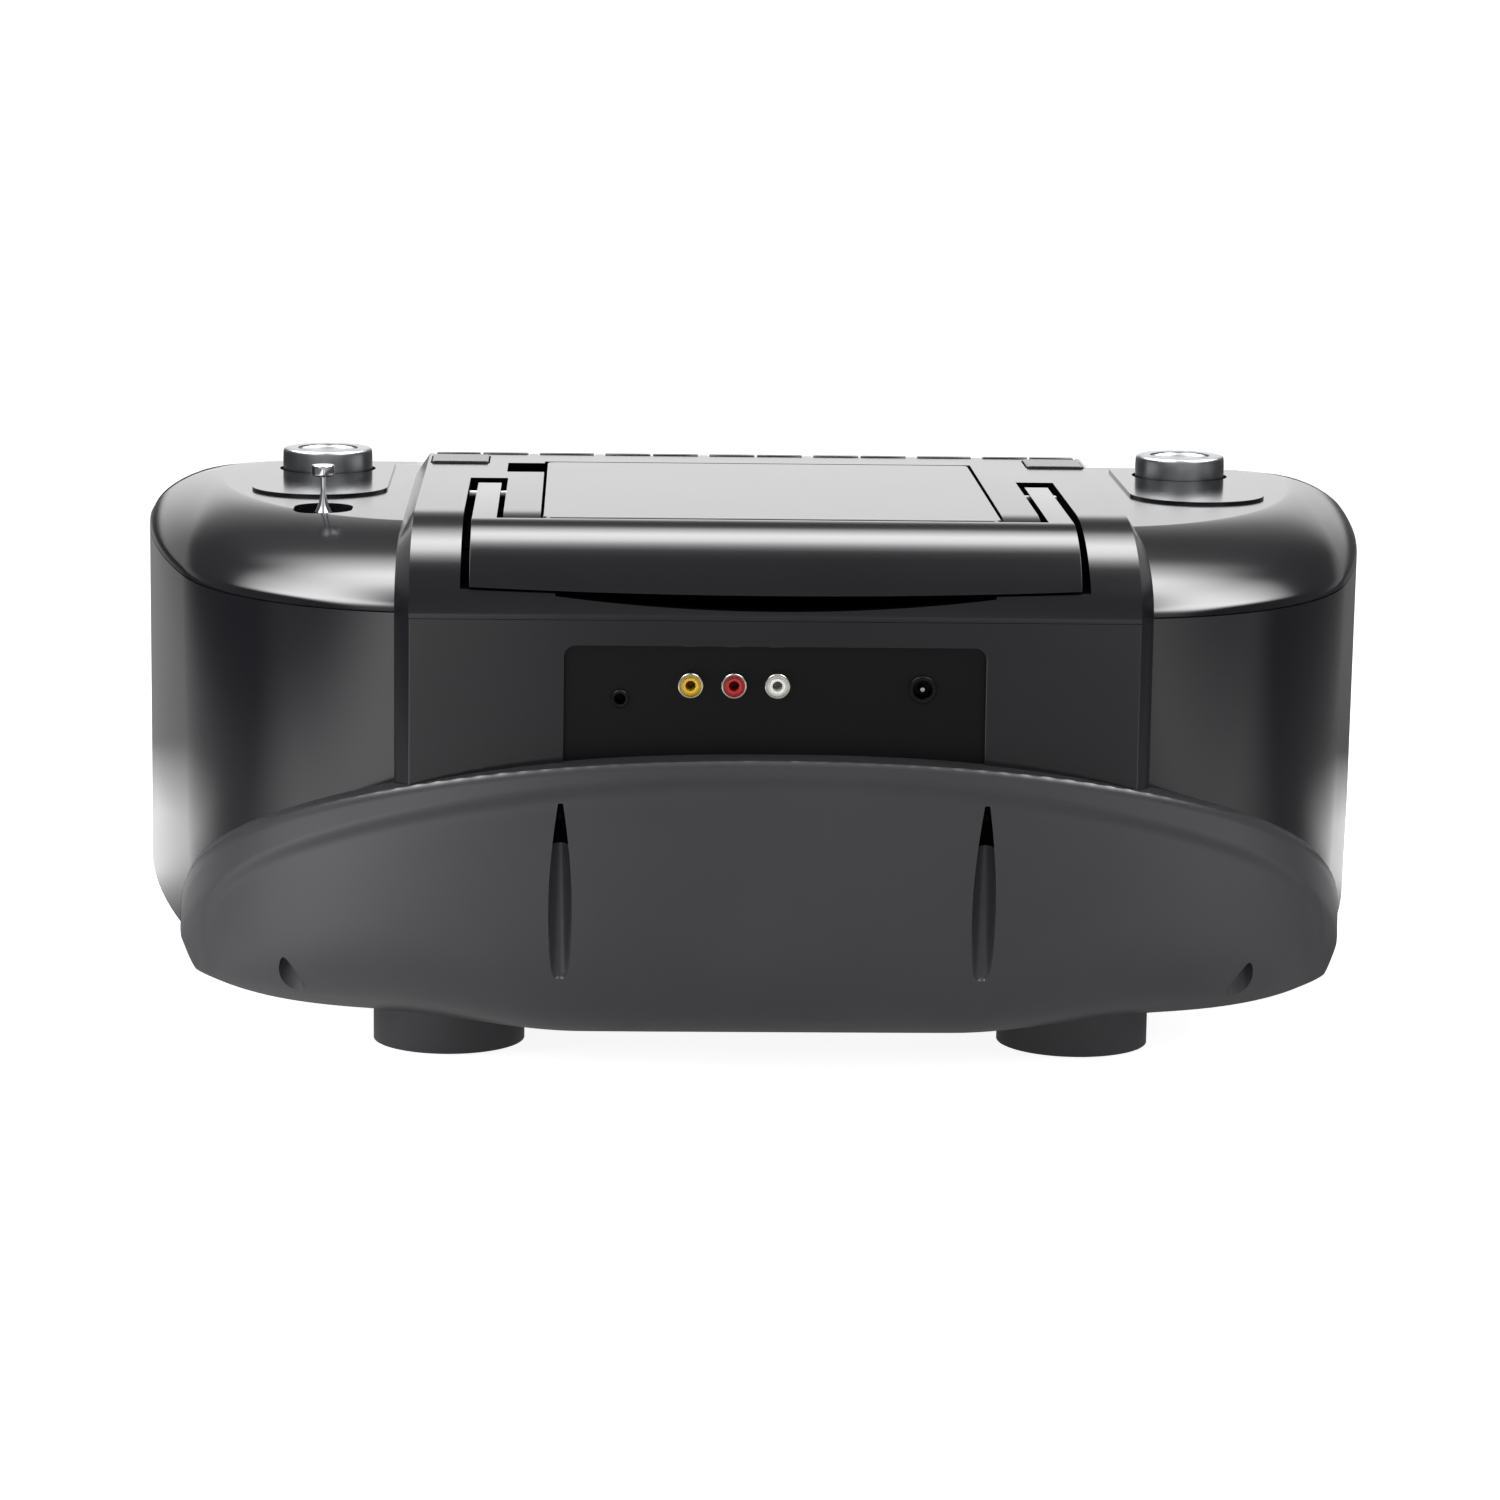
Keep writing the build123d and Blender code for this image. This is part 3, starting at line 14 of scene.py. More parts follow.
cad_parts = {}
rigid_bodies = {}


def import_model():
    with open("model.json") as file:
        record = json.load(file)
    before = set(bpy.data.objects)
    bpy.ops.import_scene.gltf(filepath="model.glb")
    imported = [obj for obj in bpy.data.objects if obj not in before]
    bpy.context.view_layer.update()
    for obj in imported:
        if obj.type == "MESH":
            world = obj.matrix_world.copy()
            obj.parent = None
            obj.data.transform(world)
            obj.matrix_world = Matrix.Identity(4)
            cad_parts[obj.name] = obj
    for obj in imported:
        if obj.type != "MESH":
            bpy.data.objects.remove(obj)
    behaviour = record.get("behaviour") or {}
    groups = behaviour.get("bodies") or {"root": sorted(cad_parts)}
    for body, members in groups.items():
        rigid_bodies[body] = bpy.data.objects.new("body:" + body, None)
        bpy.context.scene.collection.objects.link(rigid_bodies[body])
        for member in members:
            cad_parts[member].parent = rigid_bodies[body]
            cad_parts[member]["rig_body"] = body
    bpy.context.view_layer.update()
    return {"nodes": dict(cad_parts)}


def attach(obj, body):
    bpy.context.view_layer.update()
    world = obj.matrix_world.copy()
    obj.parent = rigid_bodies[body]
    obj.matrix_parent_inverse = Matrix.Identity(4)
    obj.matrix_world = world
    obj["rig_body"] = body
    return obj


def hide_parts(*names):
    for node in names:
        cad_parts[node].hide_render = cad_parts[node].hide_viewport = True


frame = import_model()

nodes = frame["nodes"]

# %% [markdown]
# ## Camera
# The machine is seen from behind and slightly above with a long lens, so its lines hardly converge.
# The aim is built from three small turns: sideways, down and round the line of sight.

# %% Aim the camera
MM, QUARTER = 0.001, math.pi / 2
LENS, YAW, PITCH, ROLL = 115.2, 0.0343450, 0.1807582, 0.0132865
right, up, ahead = np.eye(3)[0], np.eye(3)[2], -np.eye(3)[1]


def swing(a, b, angle):
    """Two axes after a turn by angle that carries the first towards the second."""
    return a * math.cos(angle) + b * math.sin(angle), b * math.cos(angle) - a * math.sin(angle)


ahead, right = swing(ahead, right, YAW)
up, ahead = swing(up, ahead, PITCH)
right, up = swing(right, up, ROLL)
turn = np.stack([right, up, -ahead], 1) * np.array([[-1], [1], [1]])
camera = bpy.data.objects.new("camera", bpy.data.cameras.new("camera"))
bpy.context.scene.collection.objects.link(camera)
bpy.context.scene.camera = camera
camera.data.lens = LENS
camera.data.sensor_width = 36
camera.matrix_world = Matrix.Translation((0.06105, 1.66533, 0.40038)) @ Matrix(turn.tolist()).to_4x4()
print("camera looks along", [round(float(v), 3) for v in -turn[:, 2]])

# %% [markdown]
# ## Light and floor
# A white studio: a pale floor, an even dim sky and four soft boxes. The camera sees a white sky, and
# reflections a painted one, bright at the horizon and in a high band over the machine.
# Reflections of the floor show painted pools of light and a painted shadow round the machine.

# %% Studio
def feed(node, inputs):
    """Sets a node's inputs to values, or links them to sockets or to other nodes' first outputs."""
    for key, value in inputs.items():
        if isinstance(value, bpy.types.Node):
            value = value.outputs[0]
        if isinstance(value, bpy.types.NodeSocket):
            node.id_data.links.new(value, node.inputs[key])
        else:
            node.inputs[key].default_value = value


def add(tree, kind, settings=None, inputs=None, stops=()):
    """One shader node. settings are its attributes; inputs are as in feed; stops are a colour ramp's
    pairs of place and grey level."""
    made = tree.nodes.new("ShaderNode" + kind)
    for key, value in (settings or {}).items():
        setattr(made, key, value)
    feed(made, inputs or {})
    if stops:
        row = made.color_ramp.elements
        while len(row) < len(stops):
            row.new(1.0)
        for element, (position, level) in zip(row, stops):
            element.position = position
            element.color = (level, level, level, 1)
    return made


def linear(code):
    """Turns an sRGB hex colour into the linear numbers that a shader takes."""
    v = np.array([int(code[i:i + 2], 16) for i in (1, 3, 5)]) / 255
    v = np.where(v <= 0.04045, v / 12.92, ((v + 0.055) / 1.055) ** 2.4)
    return (*v.tolist(), 1.0)


world = bpy.data.worlds.new("studio")
bpy.context.scene.world = world
world.use_nodes = True
sky = world.node_tree
sky.nodes.clear()
way = add(sky, "SeparateXYZ", None, {0: add(sky, "TexCoord").outputs["Generated"]})
ahead_of = add(sky, "Math", {"operation": "MULTIPLY"}, {0: way.outputs["Y"], 1: -1.0})
climb = add(sky, "Math", {"operation": "ARCTAN2"}, {0: way.outputs["Z"], 1: ahead_of})
climb = add(sky, "Math", {"operation": "DIVIDE"}, {0: climb, 1: math.pi})
sideways = add(sky, "Math", {"operation": "ABSOLUTE"}, {0: way.outputs["X"]})
# Stops are degrees up from the far horizon, over the top and down to the near one, and brightness.
SKY_PEAK = 16.0
CENTRE_SKY = [(0, 1.4), (12, 1.4), (16, 0.4), (22, 0.1), (33, 0.2), (42, 4.0), (50, 8.5), (59, 8.5),
              (68, 3.0), (76, 0.6), (90, 0.3), (140, 0.3), (180, 0.4)]
SIDE_SKY = [(0, 0.3), (8, 0.3), (14, 0.08), (41, 0.1), (52, 5.0), (62, 10.0), (75, 13.0), (92, 13.0),
            (108, 11.0), (125, 4.0), (142, 1.0), (180, 0.4)]
SMOOTH = {"interpolation_type": "SMOOTHSTEP"}
painted, side_sky = [
    add(sky, "ValToRGB", None, {0: climb}, [(a / 180, v / SKY_PEAK) for a, v in stops])
    for stops in (CENTRE_SKY, SIDE_SKY)]
# Sideways the side's sky takes over, and further out darkness.
for start, end, colour in ((0.12, 0.42, side_sky), (0.55, 0.8, (0.006, 0.006, 0.006, 1))):
    share = add(sky, "MapRange", SMOOTH, {0: sideways, 1: start, 2: end})
    painted = add(sky, "MixRGB", None, {0: share, 1: painted, 2: colour})
path = add(sky, "LightPath")
mirror = add(sky, "Math", {"operation": "MAXIMUM"},
             {0: path.outputs["Is Glossy Ray"], 1: path.outputs["Is Transmission Ray"]})
even, seen, white = [
    add(sky, "Background", None, {"Color": colour, "Strength": strength})
    for colour, strength in ((linear("#ffffff"), 0.3), (painted, SKY_PEAK), (linear("#ffffff"), 1.0))]
either = add(sky, "MixShader", None, {0: mirror, 1: even, 2: seen})
final = add(sky, "MixShader", None, {0: path.outputs["Is Camera Ray"], 1: either, 2: white})
add(sky, "OutputWorld", None, {"Surface": final})


def soft_box(name, place, aim, size, power):
    """A rectangular lamp at place that looks at aim, both in metres."""
    lamp = bpy.data.lights.new(name, "AREA")
    lamp.shape = "RECTANGLE"
    lamp.size, lamp.size_y = size
    lamp.energy = power
    obj = bpy.data.objects.new(name, lamp)
    bpy.context.scene.collection.objects.link(obj)
    obj.location = place
    obj.rotation_euler = (Vector(aim) - Vector(place)).to_track_quat("-Z", "Y").to_euler()
    obj.visible_glossy = False


soft_box("overhead", (0, -0.22, 1.15), (0, 0.0, 0.15), (1.0, 0.34), 9)
soft_box("behind_camera", (0.3, 1.9, 1.3), (0, 0.1, 0.1), (1.2, 0.8), 8)
soft_box("left_side", (1.5, 0.35, 0.4), (0.1, 0.0, 0.1), (0.5, 0.9), 20)
soft_box("right_side", (-1.5, 0.35, 0.4), (-0.1, 0.0, 0.1), (0.5, 0.9), 11)

floor_mesh = bpy.data.meshes.new("floor")
floor_mesh.from_pydata([(-40, -60, 0), (40, -60, 0), (40, 40, 0), (-40, 40, 0)], [], [(0, 1, 2, 3)])
floor = bpy.data.objects.new("floor", floor_mesh)
bpy.context.scene.collection.objects.link(floor)
paper = bpy.data.materials.new("seamless_paper")
paper.use_nodes = True
paper.node_tree.nodes.clear()
sheet = paper.node_tree
lit = add(sheet, "BsdfDiffuse", None, {"Color": linear("#d0d0d0")})
# Painted light on the paper, seen only in reflections, by X in metres: the pool painted on the left side
# is the brightest.
PAINTED_FLOOR_LIGHT = [(-1.0, 0.4), (-0.8, 0.7), (-0.5, 1.2), (-0.15, 0.4), (0.05, 0.38), (0.2, 1.1), (0.3, 2.0),
               (0.5, 2.1), (0.65, 1.6), (0.75, 1.0), (0.85, 0.4), (1.0, 0.15)]
# The same by distance from the machine: a painted shadow of the machine first, then a painted bright
# zone.
PAINTED_NEAR_SHADOW_AND_LIGHT = [(0.0, 0.1), (0.06, 0.25), (0.13, 0.9), (0.25, 0.9), (0.42, 0.0), (1.0, 0.0)]
FOOTPRINT, NONE = (0.20, 0.12, 0.0), (0.0, 0.0, 0.0)
beside = add(sheet, "NewGeometry")
spot = add(sheet, "SeparateXYZ", None, {0: beside})
across_paper = add(sheet, "MapRange", None, {0: spot.outputs["X"], 1: -1.0, 2: 1.0})
painted_pool = add(sheet, "ValToRGB", None, {0: across_paper}, [(0.5 + x / 2, v) for x, v in PAINTED_FLOOR_LIGHT])
rear_only = add(sheet, "MapRange", SMOOTH, {0: spot.outputs["Y"], 1: -0.05, 2: 0.25, 3: 0.15, 4: 1.0})
for operation, value in (("ABSOLUTE", NONE), ("SUBTRACT", FOOTPRINT), ("MAXIMUM", NONE),
                         ("LENGTH", NONE)):
    beside = add(sheet, "VectorMath", {"operation": operation}, {0: beside, 1: value})
near = add(sheet, "ValToRGB", None, {0: beside.outputs["Value"]}, PAINTED_NEAR_SHADOW_AND_LIGHT)
far_side = add(sheet, "MapRange", SMOOTH, {0: spot.outputs["Y"], 1: -0.1, 2: -0.26})
multiply = {"blend_type": "MULTIPLY"}
near = add(sheet, "MixRGB", multiply, {0: 1.0, 1: near, 2: far_side})
painted_pool = add(sheet, "MixRGB", multiply, {0: 1.0, 1: painted_pool, 2: rear_only})
painted_pool = add(sheet, "MixRGB", {"blend_type": "ADD"}, {0: 1.0, 1: painted_pool, 2: near})
rays = add(sheet, "LightPath")


def plus_glow(strength):
    """The paper's own diffuse light with an even glow added."""
    glow = add(sheet, "Emission", None, {"Strength": strength})
    return add(sheet, "AddShader", None, {0: lit, 1: glow})


# Reflections see the paper glowing with this painted light and painted shadow, not lit by the lamps.
painted_floor_reflection = add(sheet, "Emission", None, {"Color": painted_pool})
bounced = add(sheet, "MixShader", None,
              {0: rays.outputs["Is Glossy Ray"], 1: plus_glow(0.6), 2: painted_floor_reflection})
shown = add(sheet, "MixShader", None,
            {0: rays.outputs["Is Camera Ray"], 1: bounced, 2: plus_glow(0.9)})
add(sheet, "OutputMaterial", None, {"Surface": shown})
floor_mesh.materials.append(paper)
bpy.context.scene.view_settings.view_transform = "Standard"
print("studio ready")

# %% [markdown]
# ## Finishes
# Nearly everything is injection-moulded ABS. The mould is spark-eroded, which leaves a fine even
# grain, so the plastic shines softly at a low angle and looks deep black from the front.

# %% Moulded plastic
def new_finish(name, colour, **values):
    """A material with the given name, its node tree, its Principled shader set to the values, and
    the Object coordinates that its textures use."""
    material = bpy.data.materials.new(name)
    material.use_nodes = True
    tree = material.node_tree
    shader = tree.nodes["Principled BSDF"]
    shader.inputs["Base Color"].default_value = linear(colour)
    for key, value in values.items():
        shader.inputs[key.replace("_", " ")].default_value = value
    return material, tree, shader, add(tree, "TexCoord").outputs["Object"]


def dress(tree, shader, vary, low, high, height, strength, depth_mm):
    """Roughness from low to high as vary goes from 0 to 1, and bump depth_mm deep drawn by height."""
    rough = add(tree, "MapRange", None, {0: vary, 3: low, 4: high})
    bump = add(tree, "Bump", None, {"Strength": strength, "Distance": depth_mm * MM, "Height": height})
    feed(shader, {"Roughness": rough, "Normal": bump})


def moulded(name, colour, lighter, roughness, grain_mm, depth_mm, ior=1.53):
    """Moulded plastic: grain_mm is the width of one pit of the mould's texture, drawn as bump, and
    a cloudy variation a few centimetres wide moves colour and roughness slightly."""
    material, tree, shader, place = new_finish(name, colour, IOR=ior)
    cloud = add(tree, "TexNoise", None, {"Vector": place, "Scale": 1 / (40 * MM), "Detail": 3.0})
    tint = add(tree, "Mix", {"data_type": "RGBA"},
               {"Factor": cloud, 6: linear(colour), 7: linear(lighter)})
    feed(shader, {"Base Color": tint.outputs[2]})
    pits = add(tree, "TexNoise", None, {"Vector": place, "Scale": 1 / (grain_mm * MM), "Detail": 2.0})
    dress(tree, shader, cloud, roughness - 0.01, roughness + 0.01, pits, 0.6, depth_mm)
    return material


# The cabinet's grain is about 0.3 mm wide in truth; 0.7 mm is the finest that shows from here.
CABINET = moulded("abs_moulded_black", "#121215", "#18181c", 0.14, 0.7, 0.006)
LID = moulded("abs_moulded_lid", "#121215", "#18181c", 0.14, 0.7, 0.006)
BASE = moulded("abs_moulded_grey", "#333336", "#39393c", 0.33, 0.8, 0.012)
KEYS = moulded("abs_key_caps", "#161619", "#1d1d21", 0.22, 0.6, 0.004)
DARK = moulded("abs_matt_black", "#060607", "#09090b", 0.42, 0.8, 0.01, 1.3)
# Painted shade: near-black plastic whose index of 1.02 all but stops its reflection, for the insides of
# pockets and screw channels.
PAINTED_GAP_SHADE = moulded("abs_painted_gap_shade", "#040405", "#070708", 0.7, 0.8, 0.01, 1.02)
RUBBER = moulded("rubber_moulded", "#1c1c1c", "#262626", 0.8, 0.9, 0.03)
print("plastics", len(bpy.data.materials))

# %% [markdown]
# Metals take their colour from the metal itself and their look from how they were worked. The knobs
# are turned, so fine rings run round them; sheet steel is rolled, so its streaks run one way.

# %% Metals
def turned_metal(name, colour, roughness, centre, axis, ring_mm, depth_mm):
    """Metal turned on a lathe: rings ring_mm apart round the axis through centre, in millimetres."""
    material, tree, shader, place = new_finish(name, colour, Metallic=1.0, Roughness=roughness)
    centre = [v * MM for v in centre]
    moved = add(tree, "VectorMath", {"operation": "SUBTRACT"}, {0: place, 1: centre})
    rings = add(tree, "TexWave", {"wave_type": "RINGS", "rings_direction": axis},
                {"Vector": moved, "Scale": 1 / (20 * ring_mm * MM) * math.pi, "Distortion": 0.4})
    streak = add(tree, "TexNoise", None, {"Vector": moved, "Scale": 1 / (3 * MM), "Detail": 2.0})
    dress(tree, shader, streak, roughness - 0.05, roughness + 0.05, rings.outputs[1], 0.5, depth_mm)
    return material


def rolled_metal(name, colour, roughness):
    """Rolled or plated sheet: streaks 0.4 mm wide and 12 mm long along X."""
    material, tree, shader, place = new_finish(name, colour, Metallic=1.0, Roughness=roughness)
    fine = 1 / (0.4 * MM)
    long = add(tree, "Mapping", None, {"Vector": place, "Scale": (1 / (12 * MM), fine, fine)})
    streak = add(tree, "TexNoise", None, {"Vector": long, "Scale": 1.0, "Detail": 3.0})
    dress(tree, shader, streak, roughness - 0.06, roughness + 0.08, streak, 0.3, 0.004)
    return material


CHROME = rolled_metal("chrome_plated_brass", "#e6e6ea", 0.10)
NICKEL = rolled_metal("nickel_plated_steel", "#c9c5bd", 0.22)
STEEL = rolled_metal("zinc_plated_steel", "#a8aaad", 0.34)
BLACK_STEEL = rolled_metal("steel_black_oxide", "#0c0c0e", 0.5)
GRILLE = rolled_metal("painted_steel_mesh", "#26262a", 0.45)
print("metals", len(bpy.data.materials))

# %% [markdown]
# The few finishes inside are simple: a glass-fibre board with copper tracks under green lacquer,
# pressed paper for the speaker cones, smoked acrylic for the window and a small glass lens.

# %% Board, paper, window, lens
def circuit_board():
    """Green lacquer over copper tracks about 1 mm wide: bricks 6 by 1.6 mm with narrow gaps."""
    material, tree, shader, place = new_finish("circuit_board", "#1f5a34", Roughness=0.4)
    tracks = add(tree, "TexBrick", None, {"Vector": place, "Color1": linear("#1d5230"),
                 "Color2": linear("#26683d"), "Mortar": linear("#4b8a4e"), "Scale": 1 / (6 * MM),
                 "Mortar Size": 0.04})
    feed(shader, {"Base Color": tracks})
    return material


def pressed_paper():
    """Pressed paper: short fibres about 1 mm long, drawn as rough bump."""
    material, tree, shader, place = new_finish("pressed_paper", "#1d1d1e", Roughness=0.85)
    fibre = add(tree, "TexNoise", None, {"Vector": place, "Scale": 1 / (1.0 * MM), "Detail": 5.0})
    bump = add(tree, "Bump", None, {"Strength": 0.7, "Distance": 0.05 * MM, "Height": fibre})
    feed(shader, {"Normal": bump})
    return material


BOARD = circuit_board()
CONE = pressed_paper()
WINDOW = moulded("acrylic_smoked", "#08080a", "#0c0c0f", 0.07, 3.0, 0.001, 1.49)
LENS = moulded("glass_lens", "#1a1426", "#241a38", 0.05, 3.0, 0.001, 1.52)
print("finishes", len(bpy.data.materials))

# %% [markdown]
# ## Tools for surfaces
# A shape here is a row of loops of points. The loops are joined by quads, and the two ends are
# closed by flat faces. Sizes are in millimetres and become metres only when the mesh is made.
# Depths are measured forward from the flat rear face.

# %% Surface tools
REAR_Y = 120.5


def back(d):
    """Y of a depth d forward of the flat rear face."""
    return REAR_Y - d


def mix(a, b, t):
    return a + (b - a) * t


def merge(mesh, distance, outwards=False):
    """Merges points closer than distance metres and, where asked, turns the faces outwards."""
    work = bmesh.new()
    work.from_mesh(mesh)
    bmesh.ops.remove_doubles(work, verts=work.verts, dist=distance)
    if outwards:
        bmesh.ops.recalc_face_normals(work, faces=work.faces)
    work.to_mesh(mesh)
    work.free()


def skin(loops, ring=False):
    """Closed surface through an array of loops (row, point, xyz). ring joins the last to the first."""
    rows, count = loops.shape[:2]
    row = np.arange(rows if ring else rows - 1)
    a, b = np.meshgrid(row, np.arange(count), indexing="ij")
    c, d = (a + 1) % rows, (b + 1) % count
    faces = np.stack([a * count + b, c * count + b, c * count + d, a * count + d], -1)
    faces = faces.reshape(-1, 4).tolist()
    if not ring:
        faces += [list(range(count)), list(range((rows - 1) * count, rows * count))]
    mesh = bpy.data.meshes.new("surface")
    mesh.from_pydata((loops.reshape(-1, 3) * MM).tolist(), [], faces)
    merge(mesh, 2e-6, outwards=True)
    return mesh


def turned(profile, centre, axis="Z", steps=96, ring=False):
    """Surface of revolution: profile rows are radius and place along the axis; centre is a point on
    it. ring joins the profile's last row to its first, as in a tube."""
    r, h = np.asarray(profile, float).T
    angle = np.linspace(0, 2 * math.pi, steps, endpoint=False)
    c, s = r[:, None] * np.cos(angle), r[:, None] * np.sin(angle)
    along = np.broadcast_to(h[:, None], c.shape)
    parts = {"X": (along, c, s), "Y": (c, along, s), "Z": (c, s, along)}[axis]
    return skin(np.stack(parts, -1) + np.asarray(centre, float), ring)


def across(x, profiles):
    """Skin of side profiles, each a row of depths and heights that stands at its own X."""
    profiles = np.asarray(profiles, float)
    x = np.broadcast_to(np.asarray(x, float)[:, None], profiles.shape[:2])
    return skin(np.stack([x, REAR_Y - profiles[..., 0], profiles[..., 1]], -1))


def prism(outline, low, high, edge=0.0, axis="Z"):
    """Upright block on a closed outline (point, xy). edge rounds both rims: each ring moves in along the
    outline's normals by edge times one minus the sine as it rises by edge times one minus the cosine."""
    outline = np.asarray(outline, float)
    later = np.roll(outline, -1, 0)
    run = later - np.roll(outline, 1, 0)
    normal = np.stack([run[:, 1], -run[:, 0]], -1) / np.linalg.norm(run, axis=1)[:, None]
    area = np.sum(outline[:, 0] * later[:, 1] - outline[:, 1] * later[:, 0])
    normal *= 1 if area > 0 else -1
    angle = np.linspace(0, QUARTER, 4) if edge else np.array([0.0])
    inset = np.concatenate([edge * (1 - np.sin(angle)), edge * (1 - np.sin(angle[::-1]))])
    level = np.concatenate([low + edge * (1 - np.cos(angle)), high - edge * (1 - np.cos(angle[::-1]))])
    if edge:
        inset = np.concatenate([[1.2 * edge], inset, [1.2 * edge]])
        level = np.concatenate([[low], level, [high]])
    rings = outline[None] - normal[None] * inset[:, None, None]
    third = np.broadcast_to(level[:, None, None], rings.shape[:2] + (1,))
    loops = np.concatenate([rings, third], -1)
    if axis == "Y":
        loops = loops[..., [0, 2, 1]]
    if axis == "X":
        loops = loops[..., [2, 0, 1]]
    return skin(loops)


def oblong(x0, x1, d0, d1, radius=0.0):
    """Outline of a rectangle with rounded corners, in X and Y."""
    if not radius:
        return np.array([(x0, back(d1)), (x1, back(d1)), (x1, back(d0)), (x0, back(d0))])
    y0, y1 = back(d1), back(d0)
    turns = np.linspace(0, QUARTER, 8)
    parts = []
    left, right, low, high = x0 + radius, x1 - radius, y0 + radius, y1 - radius
    for k, (cx, cy) in enumerate([(right, low), (right, high), (left, high), (left, low)]):
        angle = turns + (k - 1) * QUARTER
        parts.append(np.stack([cx + radius * np.cos(angle), cy + radius * np.sin(angle)], -1))
    return np.concatenate(parts)


def brick(x0, x1, d0, d1, z0, z1):
    return prism(oblong(x0, x1, d0, d1), z0, z1)


def combine(mesh, others, operation="DIFFERENCE"):
    """Exact Boolean of a mesh with each of the others in turn."""
    scene = bpy.context.scene.collection.objects
    body = bpy.data.objects.new("body", mesh)
    scene.link(body)
    for other in others:
        tool = bpy.data.objects.new("tool", other)
        scene.link(tool)
        cut = body.modifiers.new("cut", "BOOLEAN")
        cut.operation, cut.solver, cut.object = operation, "EXACT", tool
        made = bpy.data.meshes.new_from_object(body.evaluated_get(bpy.context.evaluated_depsgraph_get()))
        body.modifiers.clear()
        body.data = made
        bpy.data.objects.remove(tool)
        bpy.context.view_layer.update()
    made = body.data
    bpy.data.objects.remove(body)
    return made


def mirrored(mesh):
    """A copy on the other side of the middle plane, its faces turned outwards again."""
    copy = mesh.copy()
    copy.transform(Matrix.Diagonal((-1, 1, 1, 1)))
    copy.flip_normals()
    return copy


def place(name, mesh, finish, body, *stands_for, sharp=32, edge=0.0):
    """Puts a finished mesh in the scene: smooth but for edges sharper than sharp degrees, which a
    small bevel of edge millimetres can soften."""
    obj = bpy.data.objects.new(name, mesh)
    bpy.context.scene.collection.objects.link(obj)
    mesh.materials.clear()
    mesh.materials.append(finish)
    mesh.shade_smooth()
    mesh.set_sharp_from_angle(angle=math.radians(sharp))
    if edge:
        soft = obj.modifiers.new("edges", "BEVEL")
        soft.width, soft.segments = edge * MM, 3
        soft.limit_method, soft.angle_limit = "ANGLE", math.radians(40)
        soft.harden_normals = True
    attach(obj, body)
    if stands_for:
        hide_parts(*stands_for)
    return obj


SIDES = (("right", 1), ("left", -1))


def place_pair(name, mesh, *where):
    """Puts a mesh of the right side and its mirror image of the left side in the scene."""
    for side, half in (("right", mesh), ("left", mirrored(mesh))):
        place(name + side, half, *where)


def paint_shade_inside(mesh, is_inside, finish):
    """Paints shade on the faces whose centres is_inside(x, depth, z) finds below the surface: they get a
    second finish.
    """
    centres = np.empty(len(mesh.polygons) * 3)
    mesh.polygons.foreach_get("center", centres)
    x, y, z = centres.reshape(-1, 3).T / MM
    mesh.materials.append(finish)
    mesh.polygons.foreach_set("material_index", is_inside(x, REAR_Y - y, z).astype(np.int32))


def smoothed(node, finish):
    """Stands for a CAD node with a copy of its mesh whose loose triangles are merged and smoothed."""
    mesh = nodes[node].data.copy()
    if "custom_normal" in mesh.attributes:
        mesh.attributes.remove(mesh.attributes["custom_normal"])
    merge(mesh, 1e-6)
    return place(node + "_finish", mesh, finish, nodes[node]["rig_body"], node, sharp=30)


print("tools ready")

# %% [markdown]
# ## Speaker pods
# Each pod is part of an ellipse behind, a side that flares towards the front and a rounded corner.
# The walls rise from the base to the seam, and the dome above leans in until it is level with the
# deck. One function gives the plan outline at any height, so walls and dome meet exactly.

# %% Pod outline
WALL = 2.5
SEAM_Z, BASE_TOP_Z, DECK_Z, TOP_Z = 160.5, 33.0, 181.3, 189.0
FRONT_D, SPLIT_D = 252.0, 239.5
POD_X, POD_INNER_X, POD_REACH, POD_REACH_D = 112.0, 118.0, 93.5, 119.5
POD_TUCK, POD_TUCK_Z = 3.0, 70.0
BASE_HALF = POD_X + POD_REACH - POD_TUCK
CREST, CREST_POWER = 79.0, 2.36


def crest_height(x, narrow):
    """The crest's height above the base's top, less narrow, times a superellipse across the width."""
    share = np.minimum(np.abs(x) / (BASE_HALF - narrow), 1)
    return (CREST - narrow) * (1 - share ** CREST_POWER) ** (1 / CREST_POWER)


def under_ledge():
    """The space that the raised rear of the base takes, a little lower than its crest, as a cutter."""
    x = (BASE_HALF - 0.01) * np.sin(np.linspace(-QUARTER, QUARTER, 81))
    top = np.stack([x, BASE_TOP_Z + np.maximum(crest_height(x, 6), 3)], -1)
    reach = BASE_HALF + 2
    sides = [(reach, BASE_TOP_Z), (reach, 0.0), (-reach, 0.0), (-reach, BASE_TOP_Z)]
    outline = np.concatenate([sides, top])
    return prism(outline, back(118), REAR_Y + 22, axis="Y")


